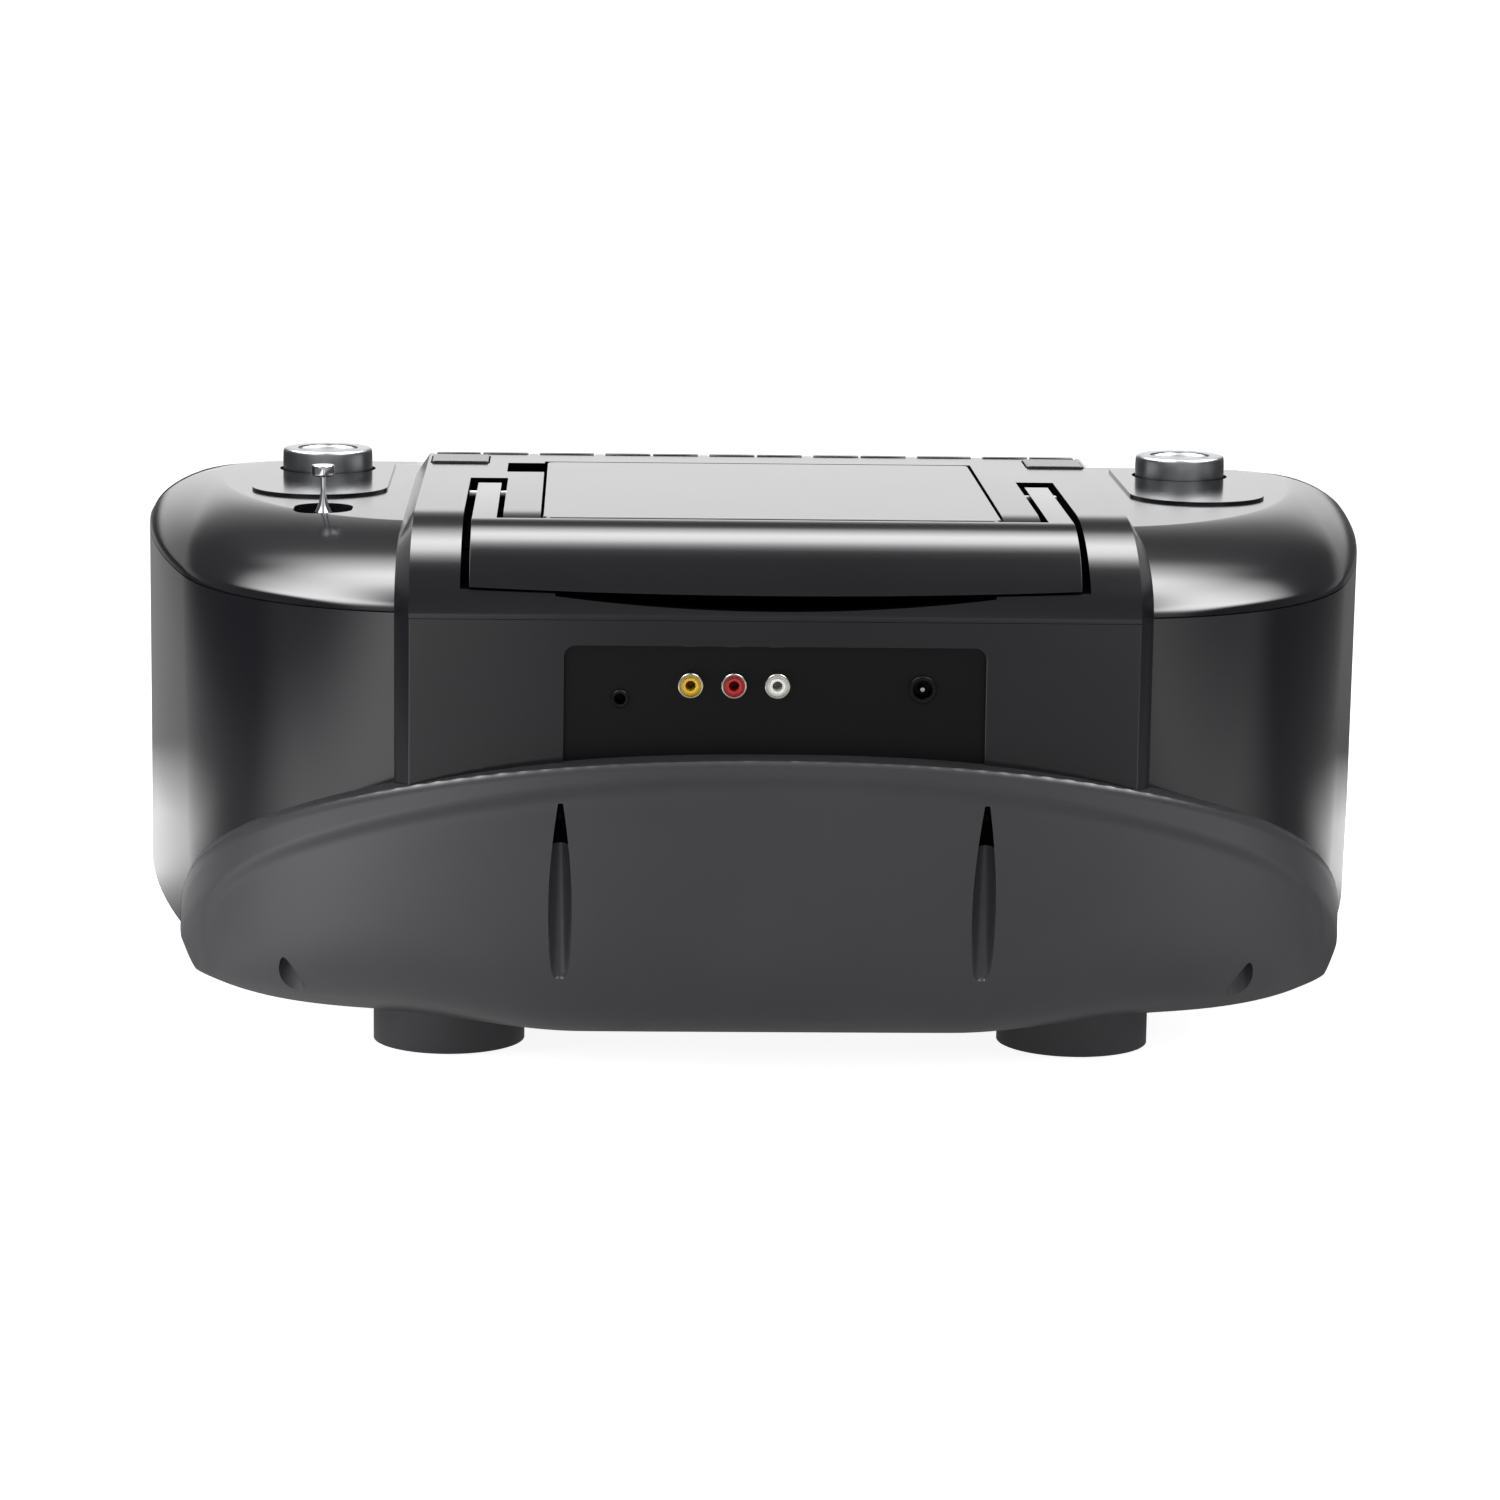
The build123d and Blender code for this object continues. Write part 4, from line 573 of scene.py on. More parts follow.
def pod_loop(z, rise, inset=0.0, tuck=0.0, advance=None):
    """Plan outline of the right pod at height z: ellipse, parabola whose flare eases off towards the
    front, front corner cut at the joint with the front panel, and the inner side. rise is 0 at the
    seam and 1 at the deck; advance is the same for the rear of the ellipse."""
    advance = rise if advance is None else advance
    reach_x = mix(POD_REACH, 84.0, rise) - inset - tuck
    reach_d = mix(POD_REACH_D, 141.0, advance) - inset - tuck
    lean = tuck / POD_REACH_D
    rear_flare, flare = mix(0.26, 0.1, rise) + lean, mix(0.076, 0.1, rise) + lean
    corner = mix(16.0, 30.0, rise) - inset
    centre_d = mix(131.0, 225.0, advance)
    start = math.atan(rear_flare * reach_d / reach_x)
    sweep = math.acos((POD_INNER_X + inset - POD_X) / reach_x)
    angle = np.linspace(sweep, start, 110)
    x, d = POD_X + reach_x * np.cos(angle), centre_d - reach_d * np.sin(angle)
    bend_d = FRONT_D - inset - 2.0 * rise - corner
    low = math.atan(flare)
    length = bend_d - corner * math.sin(low) - d[-1]
    bend_x = x[-1] + (rear_flare + flare) / 2 * length - corner * math.cos(low)
    high = -math.asin((SPLIT_D - bend_d) / corner)
    bend = np.linspace(low, high, 16)
    cx, cd = bend_x + corner * np.cos(bend), bend_d - corner * np.sin(bend)
    side = np.linspace(0, length, 26)[1:-1]
    side_x = x[-1] + rear_flare * side - (rear_flare - flare) / (2 * length) * side ** 2
    px = np.concatenate([x, side_x, cx, [POD_INNER_X + inset]])
    pd = np.concatenate([d, d[-1] + side, cd, [SPLIT_D]])
    return np.stack([px, REAR_Y - pd, np.full(len(px), z)], -1)


def tuck_at(z):
    """How far the wall leans in at height z: a third of the tuck at 70 mm and all of it at the base."""
    return float(np.interp(z, [BASE_TOP_Z, POD_TUCK_Z, SEAM_Z], [POD_TUCK, POD_TUCK / 3, 0.0]))


levels = np.linspace(BASE_TOP_Z, SEAM_Z - 0.1, 30)
outside = [pod_loop(z, 0, 0.0, tuck_at(z)) for z in levels]
inside = [pod_loop(z, 0, WALL, tuck_at(z)) for z in np.linspace(SEAM_Z - 0.1, BASE_TOP_Z, 12)]
wall = skin(np.stack(outside + inside), ring=True)
wall = combine(wall, [under_ledge()])
place_pair("pod_wall_", wall, CABINET, "case", "rear_cabinet")
print("pod wall", len(wall.vertices), "points")

# %% [markdown]
# The dome's rings follow a quarter turn: the height goes with the sine of the angle and the lean at
# the side with one minus the cosine, so the side leaves the wall upright and reaches the deck level.
# The rear leans in faster: a short round above the seam, a long slope that flattens, and a soft
# crease at the deck. A ring drawn in by 0.35 mm at the foot makes the seam's fine shadow.

# %% Domes
def sweep_curve(climb_degrees, radius, count):
    """Shares of depth and height, 0 to 1, along a curve that starts upright and ends level. Its
    radius is interpolated over the angle of climb; depth adds radius times sine, height cosine."""
    climb = np.linspace(0, QUARTER, count)
    pace = np.interp(np.degrees(climb), climb_degrees, radius)
    steps = np.stack([pace * np.sin(climb), pace * np.cos(climb)])
    run = np.concatenate([np.zeros((2, 1)), np.cumsum((steps[:, 1:] + steps[:, :-1]) / 2, 1)], 1)
    return run / run[:, -1:]


REAR_LEAN, REAR_RISE = sweep_curve([0, 52, 58, 61, 64, 70, 74, 78, 82, 85.5, 86, 90],
                                   [4, 4, 20, 85, 75, 88, 128, 190, 380, 415, 12, 12], 361)


def dome_ring(angle, inset=0.0):
    """Ring of the dome at an angle of its quarter turn; height share h = sin(angle)."""
    h = math.sin(angle)
    z = mix(SEAM_Z, DECK_Z - inset, h)
    return pod_loop(z, 1 - math.cos(angle), inset, advance=float(np.interp(h, REAR_RISE, REAR_LEAN)))


bow = np.linspace(0, QUARTER, 76)
outside = [pod_loop(SEAM_Z + 0.05, 0, 0.35), pod_loop(SEAM_Z + 0.4, 0, 0.0)]
outside += [dome_ring(a) for a in bow if math.sin(a) > 0.03]
inside = [dome_ring(a, WALL) for a in bow[::-5]] + [pod_loop(SEAM_Z + 0.05, 0, WALL)]
dome_mesh = skin(np.stack(inside + outside))
KNOB_X, KNOB_D = 157.6, 220.0
ANTENNA_X, ANTENNA_D = 153.5, 115.0
well = turned([(0, 174.0), (17.6, 174.0), (17.6, 200.0), (0, 200.0)], (KNOB_X, back(KNOB_D), 0))
turns = np.linspace(0, math.pi, 33)
# The antenna's well is two half circles of radius 10.2 mm, each 3.3 mm from the antenna's axis.
half_oval = np.stack([10.2 * np.cos(turns), 3.3 + 10.2 * np.sin(turns)], -1)
oval = np.array([ANTENNA_X, back(ANTENNA_D)]) + np.concatenate([half_oval, -half_oval])
right_dome = combine(dome_mesh.copy(), [well.copy(), prism(oval, 150, 200)])
left_dome = combine(mirrored(dome_mesh), [mirrored(well)])
place("dome_right", right_dome, CABINET, "case", "top_shell")
place("dome_left", left_dome, CABINET, "case", "top_shell")
cup = [(4.2, 173.9), (17.55, 173.9), (17.55, 181.0), (19.6, 181.0), (19.6, 171.6), (4.2, 171.6)]
knob_cup = turned(cup, (KNOB_X, back(KNOB_D), 0), ring=True)
place_pair("knob_well_", knob_cup, CABINET, "case", "top_shell")
print("domes", len(right_dome.vertices), len(left_dome.vertices))

# %% [markdown]
# ## Centre section
# The centre has one side profile carried across the machine: upright rear, a shoulder whose radius
# grows as it leans forward, a flat top and a sloping fascia. Near each end the profile steps in and
# down, which makes the bevel beside the pods. The hollow inside keeps a wall round each pocket.

# %% Centre profile
CENTRE_HALF, STEP_WIDTH, STEP_DEPTH = 119.6, 5.1, 10.5
SHOULDER_D, SHOULDER_Z, TOP_FRONT_D, FASCIA_Z = 36.0, 163.0, 214.5, 152.0
STEEP = (TOP_Z - FASCIA_Z) / (FRONT_D - TOP_FRONT_D)
ROLL_D, ROLL_Z = 58.0, 161.0


def side_profile(setback=0.0, drop=0.0, inset=0.0, low=SEAM_Z, front=SPLIT_D, count=40):
    """Closed side outline (depth, height) of the centre section from height low to depth front."""
    rear, top = setback + inset, TOP_Z - drop - inset
    shift = inset * math.sqrt(1 + STEEP * STEEP) + drop
    edge_d = TOP_FRONT_D + (TOP_Z - shift - top) / STEEP
    nose = TOP_Z - shift - STEEP * (front - TOP_FRONT_D)
    d, z = sweep_curve([0, 30, 50, 70, 90], [20, 24, 38, 80, 120], count)
    d, z = mix(rear, ROLL_D, d), mix(ROLL_Z, top, z)
    d = np.concatenate([[rear], d, [edge_d, front, front]])
    z = np.concatenate([[low], z, [top, nose, low]])
    return np.stack([d, z], -1)


full = side_profile(low=SEAM_Z + 0.05)
step = side_profile(STEP_DEPTH, TOP_Z - DECK_Z, low=SEAM_Z + 0.05)
EDGE_X = CENTRE_HALF + STEP_WIDTH
roof = across([-EDGE_X, -CENTRE_HALF, CENTRE_HALF, EDGE_X], [step, full, full, step])
print("centre roof", len(roof.vertices))

# %% [markdown]
# ### Pockets
# A cutter is the empty space itself, as a closed block. The handle's pocket follows an ellipse and
# ends on a line that bows down in the middle. grow makes the cutters larger, for the hollow inside.

# %% Pockets
HANDLE_HALF, ARM_WIDTH, LID_HALF = 100.0, 8.2, 76.5
LID_REAR_D, LID_FRONT_D, LID_CENTRE_D = 38.5, 190.0, 114.25
MODE_X = 107.9


def bow_z(x, half, end_z, mid_z):
    """Height of a shallow arc through both ends and the middle, worked out as a parabola."""
    return mid_z + (end_z - mid_z) * (np.asarray(x) / half) ** 2


def handle_space(grow):
    """Sections across X: in at the bowed line, up along an ellipse and back outside the machine."""
    half, deep = 103.0 + grow, 11.5 + grow
    x = np.linspace(-half, half, 33)
    low = bow_z(x, half, 170.0 - grow, 167.9 - grow)[:, None]
    reach_d, reach_z = SHOULDER_D - deep, TOP_Z - deep - SHOULDER_Z
    start = np.arcsin((low - SHOULDER_Z) / reach_z)
    bend = start + (QUARTER - start) * np.linspace(0, 1, 30)[None]
    d, z = SHOULDER_D - reach_d * np.cos(bend), SHOULDER_Z + reach_z * np.sin(bend)
    front, roof_z = LID_REAR_D + grow, TOP_Z + 5
    ones = np.ones_like(low)
    d = np.concatenate([-5 * ones, d, front * ones, front * ones, -5 * ones], 1)
    z = np.concatenate([low, z, z[:, -1:], roof_z * ones, roof_z * ones], 1)
    return across(x, np.stack([d, z], -1))


def grip_space(grow):
    """Finger hollow below the bar, with the same bowed floor."""
    half = 72.0 + grow
    x = np.linspace(-half, half, 25)
    low = bow_z(x, half, 168.0 - grow, 163.6 - grow)
    d = np.broadcast_to([-5.0, 16.0 + grow, 16.0 + grow, -5.0], (25, 4))
    z = np.stack([low, low, np.full(25, 172.0), np.full(25, 172.0)], -1)
    return across(x, np.stack([d, z], -1))


def pockets(grow):
    """Every pocket in the centre roof, larger all round by grow."""
    high, slot = TOP_Z + 5, 178.5 - grow
    x0, x1 = 89.8 - grow, 103.0 + grow
    cuts = [handle_space(grow), grip_space(grow)]
    for sign in (-1, 1):
        cuts.append(brick(*sorted((sign * x0, sign * x1)), SHOULDER_D - 1, 142 + grow, slot, high))
    cuts.append(brick(-77.3 - grow, 77.3 + grow, 36 - grow, 190.8 + grow, 179.5 - grow, high))
    cuts.append(brick(76.5, 90.5 + grow, 160 - grow, 186 + grow, 182 - grow, high))
    return cuts


hollow = across([-117.1, 117.1], [side_profile(0, 0, WALL, low=150.0, front=SPLIT_D + 3)] * 2)
hollow = combine(hollow, pockets(WALL))
key_widths = [34.3, 20.1, 34.3, 34.3, 34.3, 20.1, 34.3]
key_starts = (np.cumsum([0] + [w + 4 for w in key_widths[:-1]]) - (sum(key_widths) + 24) / 2).tolist()
holes = [brick(x - 0.5, x + w + 0.5, 211.5, 226.5, 150, 200) for x, w in zip(key_starts, key_widths)]
holes += [brick(x - 10.7, x + 10.7, 183.5, 205.5, 150, 200) for x in (-MODE_X, MODE_X)]
bowl = [(0, 150), (63.5, 150), (63.5, 181), (0, 181)]
holes.append(turned(bowl, (0, back(LID_CENTRE_D), 0), steps=128))


def fascia_cut(half, deep, d0, d1):
    """Cutter in the sloping fascia: its floor lies deep below the slope."""
    shift = deep * math.sqrt(1 + STEEP * STEEP)
    slope = lambda d: TOP_Z - shift - STEEP * (d - TOP_FRONT_D)
    corners = np.array([(d0, slope(d0)), (d1, slope(d1)), (d1, 200.0), (d0, 200.0)])
    return across([-half, half], [corners, corners])


holes.append(fascia_cut(46.3, 1.4, 228.5, 238.0))
holes.append(fascia_cut(44.4, 5.0, 230.1, 236.4))
roof = combine(roof, pockets(0.0) + [hollow] + holes)
place("centre_roof", roof, CABINET, "case", "top_shell", sharp=25)


def below_roof(x, d, z):
    """True for points more than 0.6 mm under the centre's outer skin."""
    outer = side_profile(count=120)[1:-1]
    level = np.interp(d, outer[:, 0], outer[:, 1])
    return (z < level - 0.6) & (d > 0.6) & (d < 236) & (np.abs(x) < 118)


# The faces inside the pockets, under the roof's skin, take the painted shade.
paint_shade_inside(roof, below_roof, PAINTED_GAP_SHADE)
print("centre roof", len(roof.vertices), "points after cutting")

# %% [markdown]
# ### Rear wall
# The flat rear wall turns in at both ends to meet the pods. It is a plan outline drawn upwards, with
# the jack window cut through.

# %% Rear wall
bend = [(EDGE_X, 17), (EDGE_X, STEP_DEPTH), (CENTRE_HALF, 0)]
inner_bend = [(POD_INNER_X, WALL), (122.2, 11.1), (122.2, 17)]
plan = np.array(bend + [(-x, d) for x, d in bend[::-1] + inner_bend[::-1]] + inner_bend, float)
plan[:, 1] = REAR_Y - plan[:, 1]
rear_wall = prism(plan, BASE_TOP_Z + 4, SEAM_Z - 0.05)
corner = np.linspace(0, QUARTER, 12)
window = np.concatenate([
    [(-69.0, 108.0), (69.0, 108.0)],
    np.stack([65 + 4 * np.cos(corner), 147.9 + 4 * np.sin(corner)], -1),
    np.stack([-65 - 4 * np.sin(corner), 147.9 + 4 * np.cos(corner)], -1)])
rear_wall = combine(rear_wall, [prism(window, back(10), back(-10), axis="Y"), under_ledge()])
place("rear_wall", rear_wall, CABINET, "case", "rear_cabinet", edge=0.35)
print("rear wall", len(rear_wall.vertices))

# %% [markdown]
# ## Base
# The base is a tray whose rear wall rises behind the cabinet like the side of a canoe. Its shape is a
# section across the depth that changes with X: a superellipse gives the crest's height, a second
# curve bends the rim in at the ends, the face leans in below the rim, and a soft scoop leads under.

# %% Base sections
def rim_y(x):
    """Y of the rim: 11 mm behind the flat rear in the middle, curving in towards the ends."""
    share = np.minimum(np.abs(x) / (BASE_HALF + 1), 1)
    return REAR_Y + 11 - 115 * (1 - (1 - share ** 4.1) ** (1 / 1.6))


def curve3(a, b, c, count):
    """Quadratic curve from a to c pulled towards b, for whole columns of points at once."""
    t = np.linspace(0, 1, count)[None, :, None]
    return (1 - t) ** 2 * a[:, None] + 2 * t * (1 - t) * b[:, None] + t * t * c[:, None]


def straight(a, b, count):
    t = np.linspace(0, 1, count)[None, :, None]
    return (1 - t) * a[:, None] + t * b[:, None]


def smooth_step(t):
    """3 t squared minus 2 t cubed, held at 0 and 1 outside the range."""
    t = np.clip(t, 0, 1)
    return t * t * (3 - 2 * t)


def rim_distance(x, z):
    """Distance of points to the rim's line as seen from behind: over the crest and round both ends."""
    line_x = BASE_HALF * np.sin(np.linspace(0, QUARTER, 200))
    line = np.concatenate([np.stack([line_x, 37 + crest_height(line_x, 0)], -1),
                           [(BASE_HALF, 34.0), (BASE_HALF - 2, 28.0), (BASE_HALF - 7, 23.0)]])
    away = np.hypot(np.abs(x)[..., None] - line[:, 0], z[..., None] - line[:, 1])
    return away.min(-1)


def soften(curve, middle, reach):
    """Rounds the crease at point middle: a mean over 9 points, taken twice, blended in within reach."""
    mean = curve.copy()
    for _ in range(2):
        padded = np.concatenate([mean[:, :1]] * 4 + [mean] + [mean[:, -1:]] * 4, 1)
        mean = np.mean([padded[:, k:k + mean.shape[1]] for k in range(9)], 0)
    share = smooth_step(1.4 * (1 - np.abs(np.arange(curve.shape[1]) - middle) / reach))
    return mix(curve, mean, share[None, :, None])


def rear_face(x, z):
    """Y of the base's outer face: it follows the rim's plan line and leans in 0.135 mm per mm below
    the crest. The last 2.5 mm before the rim round over by 2 mm. A band of 4.5 mm in the middle and 9
    at the ends stands along the rim, and the face below it dips by 2.8 mm."""
    crest = 37 + crest_height(x, 0)
    away = rim_distance(x, z)
    turn = np.clip(1 - away / 2.5, 0, 1)
    band = mix(4.5, 9.0, smooth_step(np.abs(x) / 175))
    lean = 0.135 * np.maximum(crest - 14 - z, 0)
    return rim_y(x) - lean - 2 * (1 - np.sqrt(1 - turn ** 2)) - 2.8 * smooth_step((away - band) / 5)


def base_loops(x):
    """Sections of the base at every X: arrays of (Y, Z) going round once."""
    away = np.abs(x)
    end = np.clip((away - (BASE_HALF - 8)) / 8, 0, 1)
    close = 1 - np.sqrt(1 - end ** 2)
    crest = 37 + crest_height(x, 0) - close
    bottom = 10 + 17 * (away / BASE_HALF) ** 7 + 7.5 * close
    lower_z = np.maximum(mix(45, 33, smooth_step((away - 130) / 65)), bottom + 0.3)
    lower_y = rear_face(x, lower_z)
    run_y = np.minimum(back(85), lower_y - 12)
    fullness = smooth_step((138 - away) / 75)
    pair = lambda y, z: np.stack([y + 0 * x, z + 0 * x], -1)
    under_y = lower_y - 5
    under_z = np.minimum(bottom + 0.17 * (under_y - run_y), mix(bottom, lower_z, 0.6))
    pull = pair(mix(under_y, lower_y, fullness), mix(under_z, bottom, fullness))
    # The tray's inner wall keeps inside the cabinet's plan, and a wall's thickness inside the face.
    out = np.clip(1 - ((away - POD_X) / 93.2) ** 2, 0, 1)
    wall_y = np.where(away < EDGE_X, back(4.0), back(133 - 119.2 * np.sqrt(out)))
    inner_z = np.minimum(crest - 1, lower_z + 8)
    limit_y = np.minimum(rim_y(x) - 8, rear_face(x, inner_z) - WALL)
    wall_y = np.minimum(np.maximum(wall_y, back(118)), limit_y)
    front_y = back(251 - np.maximum(0, away - (BASE_HALF - 16)) / 2)
    run, low = pair(run_y, bottom), pair(lower_y, lower_z)
    climb = 1 - np.cos(np.linspace(0, QUARTER, 48))[::-1]
    face_z = crest[:, None] - (crest - lower_z)[:, None] * climb
    face = np.stack([rear_face(np.broadcast_to(x[:, None], face_z.shape), face_z), face_z], -1)
    rim_top = face[:, -1]
    scoop = curve3(run, pull, low, 24)
    skirt = soften(np.concatenate([scoop[:, :-1], face], 1), 23, 12)
    front0, front1 = pair(front_y, bottom), pair(front_y, np.maximum(BASE_TOP_Z, bottom + 0.5))
    inner0, inner1 = pair(wall_y, crest), pair(wall_y, inner_z)
    inner2 = pair(np.minimum(run_y, wall_y), front1[:, 1])
    corners = [rim_top, inner0, inner1, inner2, front1, front0]
    parts = [straight(front0, run, 12), skirt]
    parts += [straight(a, b, count) for a, b, count in zip(corners, corners[1:], (6, 4, 4, 6, 3))]
    yz = np.concatenate([p[:, :-1] for p in parts], 1)
    return np.concatenate([np.broadcast_to(x[:, None, None], yz.shape[:2] + (1,)), yz], -1)


stations = BASE_HALF * np.sin(np.linspace(-QUARTER, QUARTER, 241))
base = skin(base_loops(stations))
# Two screw channels run up the face: slots that taper to a point above and start round below. A screw
# hole opens under each end of the base.
CHANNEL_X, CHANNEL_HALF, DEEP = 69.8, 4.1, 18.0
level = np.linspace(39, 101.0, 48)
taper = 1 - ((level - 58) / 48).clip(0) ** 2
start = np.sqrt(1 - (1 - (level - 38).clip(0, 4) / 4) ** 2)
half = (CHANNEL_HALF * taper * start)[:, None]
turns = np.linspace(-QUARTER, QUARTER, 33)
screw_cuts = []
for sign in (-1, 1):
    slot_x = sign * (CHANNEL_X + half * np.concatenate([[-1.0], np.sin(turns), [1.0]]))
    open_y = np.full_like(half, DEEP)
    slot_y = back(-4.0) + np.concatenate([open_y, -1.7 * half * np.cos(turns), open_y], 1)
    screw_cuts.append(skin(np.stack([slot_x, slot_y, np.broadcast_to(level[:, None], slot_x.shape)], -1)))
    hole = [(0, 0), (4.4, 0), (4.4, 46), (0, 46)]
    screw_cuts.append(turned(hole, (sign * 159.8, back(32), 0), steps=64))
base = combine(base, screw_cuts)
place("base_tray", base, BASE, "case", "base_shell", sharp=28)


def channel_tip(x, d, z):
    """True for points in the upper end of a screw channel, more than 0.5 mm under the face."""
    near = (np.abs(np.abs(x) - CHANNEL_X) < CHANNEL_HALF + 0.1) & (z > 86) & (z < 102.4)
    return near & (REAR_Y - d < rear_face(x, z) - 0.5)


# The upper ends of the screw channels take the painted shade.
paint_shade_inside(base, channel_tip, PAINTED_GAP_SHADE)
print("base", len(base.vertices), "points")

# %% [markdown]
# ## Carry handle
# The bar is the outer 10 mm of a quarter ellipse over the rear edge, cut off below along the bowed
# line. Two flat arms with round ends run forward to the pivots.

# %% Handle
PIVOT_D, ARM_THICK, BAR_THICK = 128.0, 9.0, 10.0
PIVOT_Z = TOP_Z - ARM_THICK / 2
x = np.linspace(-HANDLE_HALF, HANDLE_HALF, 49)
low = bow_z(x, HANDLE_HALF, 170.8, 168.7)[:, None]
t = np.linspace(0, 1, 40)[None]
curves = []
for reach_d, reach_z, share in ((SHOULDER_D, TOP_Z - SHOULDER_Z, t),
                                (SHOULDER_D - BAR_THICK, TOP_Z - SHOULDER_Z - BAR_THICK, t[:, ::-1])):
    start = np.arcsin((low - SHOULDER_Z) / reach_z)
    bend = start + (QUARTER - start) * share
    d, z = SHOULDER_D - reach_d * np.cos(bend), SHOULDER_Z + reach_z * np.sin(bend)
    curves.append(np.stack([d, z], -1))
bar = across(x, np.concatenate(curves, 1))
half_turn = np.linspace(QUARTER, -QUARTER, 25)
arm_side = np.concatenate([
    [(SHOULDER_D, TOP_Z - ARM_THICK), (SHOULDER_D, TOP_Z)],
    np.stack([PIVOT_D + 4.5 * np.cos(half_turn), PIVOT_Z + 4.5 * np.sin(half_turn)], -1)])
arm = across([HANDLE_HALF - ARM_WIDTH, HANDLE_HALF], [arm_side, arm_side])
pin_hole = turned([(0, 80), (1.8, 80), (1.8, 110), (0, 110)], (0, back(PIVOT_D), PIVOT_Z), "X", 32)
arm = combine(arm, [pin_hole])
handle = combine(bar, [arm, mirrored(arm)], "UNION")
place("handle", handle, LID, "handle", "carry_handle", sharp=30, edge=0.7)
print("handle", len(handle.vertices))

# %% [markdown]
# ## Disc lid
# The lid is a thin plate with small corner radii and softly rounded rims, and a knuckle under each
# rear corner takes its hinge pin.

# %% Lid
lid = prism(oblong(-LID_HALF, LID_HALF, LID_REAR_D, LID_FRONT_D, 3.0), TOP_Z - 3, TOP_Z, edge=0.7)
place("lid", lid, LID, "lid", "disc_lid", sharp=40)
HINGE_D, HINGE_Z = 43.3, 184.4
for side, sign in SIDES:
    loop = [(1.6, 66.5), (2.5, 66.5), (2.8, 66.8), (2.8, 74.2), (2.5, 74.5), (1.6, 74.5)]
    loop = [(r, sign * x) for r, x in loop]
    knuckle = turned(loop, (0, back(HINGE_D), HINGE_Z), "X", 48, ring=True)
    place("lid_knuckle_" + side, knuckle, LID, "lid", "disc_lid")
print("lid", len(lid.vertices))

# %% [markdown]
# ## Keys
# A front key follows the cabinet's edge: flat behind, then sloping down with the fascia. Most of them
# rock, and a groove across the middle marks their halves: a few columns of the key's own surface drawn
# 0.85 mm inwards. The outermost ends stop 0.7 mm short of the pods, which they would touch rocking.

# %% Front keys and mode keys
def key_profile(rise):
    """Side outline of a front key whose surface stands rise above the cabinet's."""
    shift = rise * math.sqrt(1 + STEEP * STEEP)
    top, edge_d = TOP_Z + rise, TOP_FRONT_D + (shift - rise) / STEEP
    low = TOP_Z + shift - STEEP * (226.0 - TOP_FRONT_D)
    return [(212.0, 169.0), (212.0, top - 0.5), (212.15, top - 0.15), (212.5, top), (edge_d - 0.6, top),
            (edge_d, top - 0.12), (edge_d + 0.5, top - 0.6), (225.6, low + 0.4), (225.9, low - 0.1),
            (226.0, low - 0.6), (226.0, 169.0)]


RISE = 0.45
ROUND = [(0, 0.1), (0.12, 0.3), (0.4, RISE)]
GROOVE = [(-0.8, RISE), (-0.45, 0.3), (-0.35, -0.4), (0.35, -0.4), (0.45, 0.3), (0.8, RISE)]
for number, (x0, width) in enumerate(zip(key_starts, key_widths), 1):
    near_end = x0 + (0.7 if number == 1 else 0)
    far_end = x0 + width - (0.7 if number == 7 else 0)
    columns = [(near_end + dx, rise) for dx, rise in ROUND]
    if width > 30:
        columns += [(x0 + width / 2 + dx, rise) for dx, rise in GROOVE]
    columns += [(far_end - dx, rise) for dx, rise in ROUND[::-1]]
    key = across([x for x, _ in columns], [key_profile(rise) for _, rise in columns])
    place("key_cap_%d" % number, key, KEYS, "key_%d" % number, "front_key_%d" % number, sharp=50)
    flange = brick(x0 - 1.2, x0 + width + 1.2, 210.8, 227.2, 169.0, 170.5)
    place("key_flange_%d" % number, flange, KEYS, "key_%d" % number)
for side, sign in SIDES[::-1]:
    cx = sign * MODE_X
    cap = prism(oblong(cx - 10.2, cx + 10.2, 184, 205, 0.8), 169, 189.8, edge=0.6)
    place("mode_cap_" + side, cap, KEYS, "mode_" + side, "mode_key_" + side, sharp=50)
    flange = brick(cx - 11.4, cx + 11.4, 182.8, 206.2, 169.0, 170.5)
    place("mode_flange_" + side, flange, KEYS, "mode_" + side)
print("keys", len(key_widths) + 2)

# %% [markdown]
# ## Knobs and antenna
# Each is one profile swept round its axis. The knob has a bevelled rim and a shallow dish. The
# antenna's tip swells into a flat cap.

# %% Turned parts
def arc(r0, h0, r1, h1, bulge=1, count=6):
    """Quarter-round corner between two points of a profile."""
    t = np.linspace(0, QUARTER, count)
    shares = (np.sin(t), 1 - np.cos(t))[::bulge]
    return np.stack([mix(r0, r1, shares[0]), mix(h0, h1, shares[1])], -1)


knob_profile = np.concatenate([
    [(0, 162.6), (3.0, 162.6), (3.0, 175.2), (15.9, 175.2)], arc(15.9, 175.2, 16.4, 175.7),
    [(16.4, 186.0), (16.3, 188.7)], arc(16.3, 188.7, 15.2, 190.0, -1), [(11.0, 190.0)],
    arc(11.0, 190.0, 10.0, 189.0, -1, 8), [(6.0, 188.9), (0, 188.85)]])
for side, sign in SIDES:
    centre = (sign * KNOB_X, back(KNOB_D), 0)
    aluminium = turned_metal("turned_aluminium_" + side, "#b4b6b9", 0.33, centre, "Z", 0.5, 0.01)
    place("knob_" + side, turned(knob_profile, centre, steps=160), aluminium, "knob_" + side,
          "volume_knob_" + side, sharp=30)
axis = (ANTENNA_X, back(ANTENNA_D), 0)
flare = curve3(*np.array([[(3.0, 180.0)], [(0.85, 183.6)], [(0.85, 189.0)]]), 30)[0]
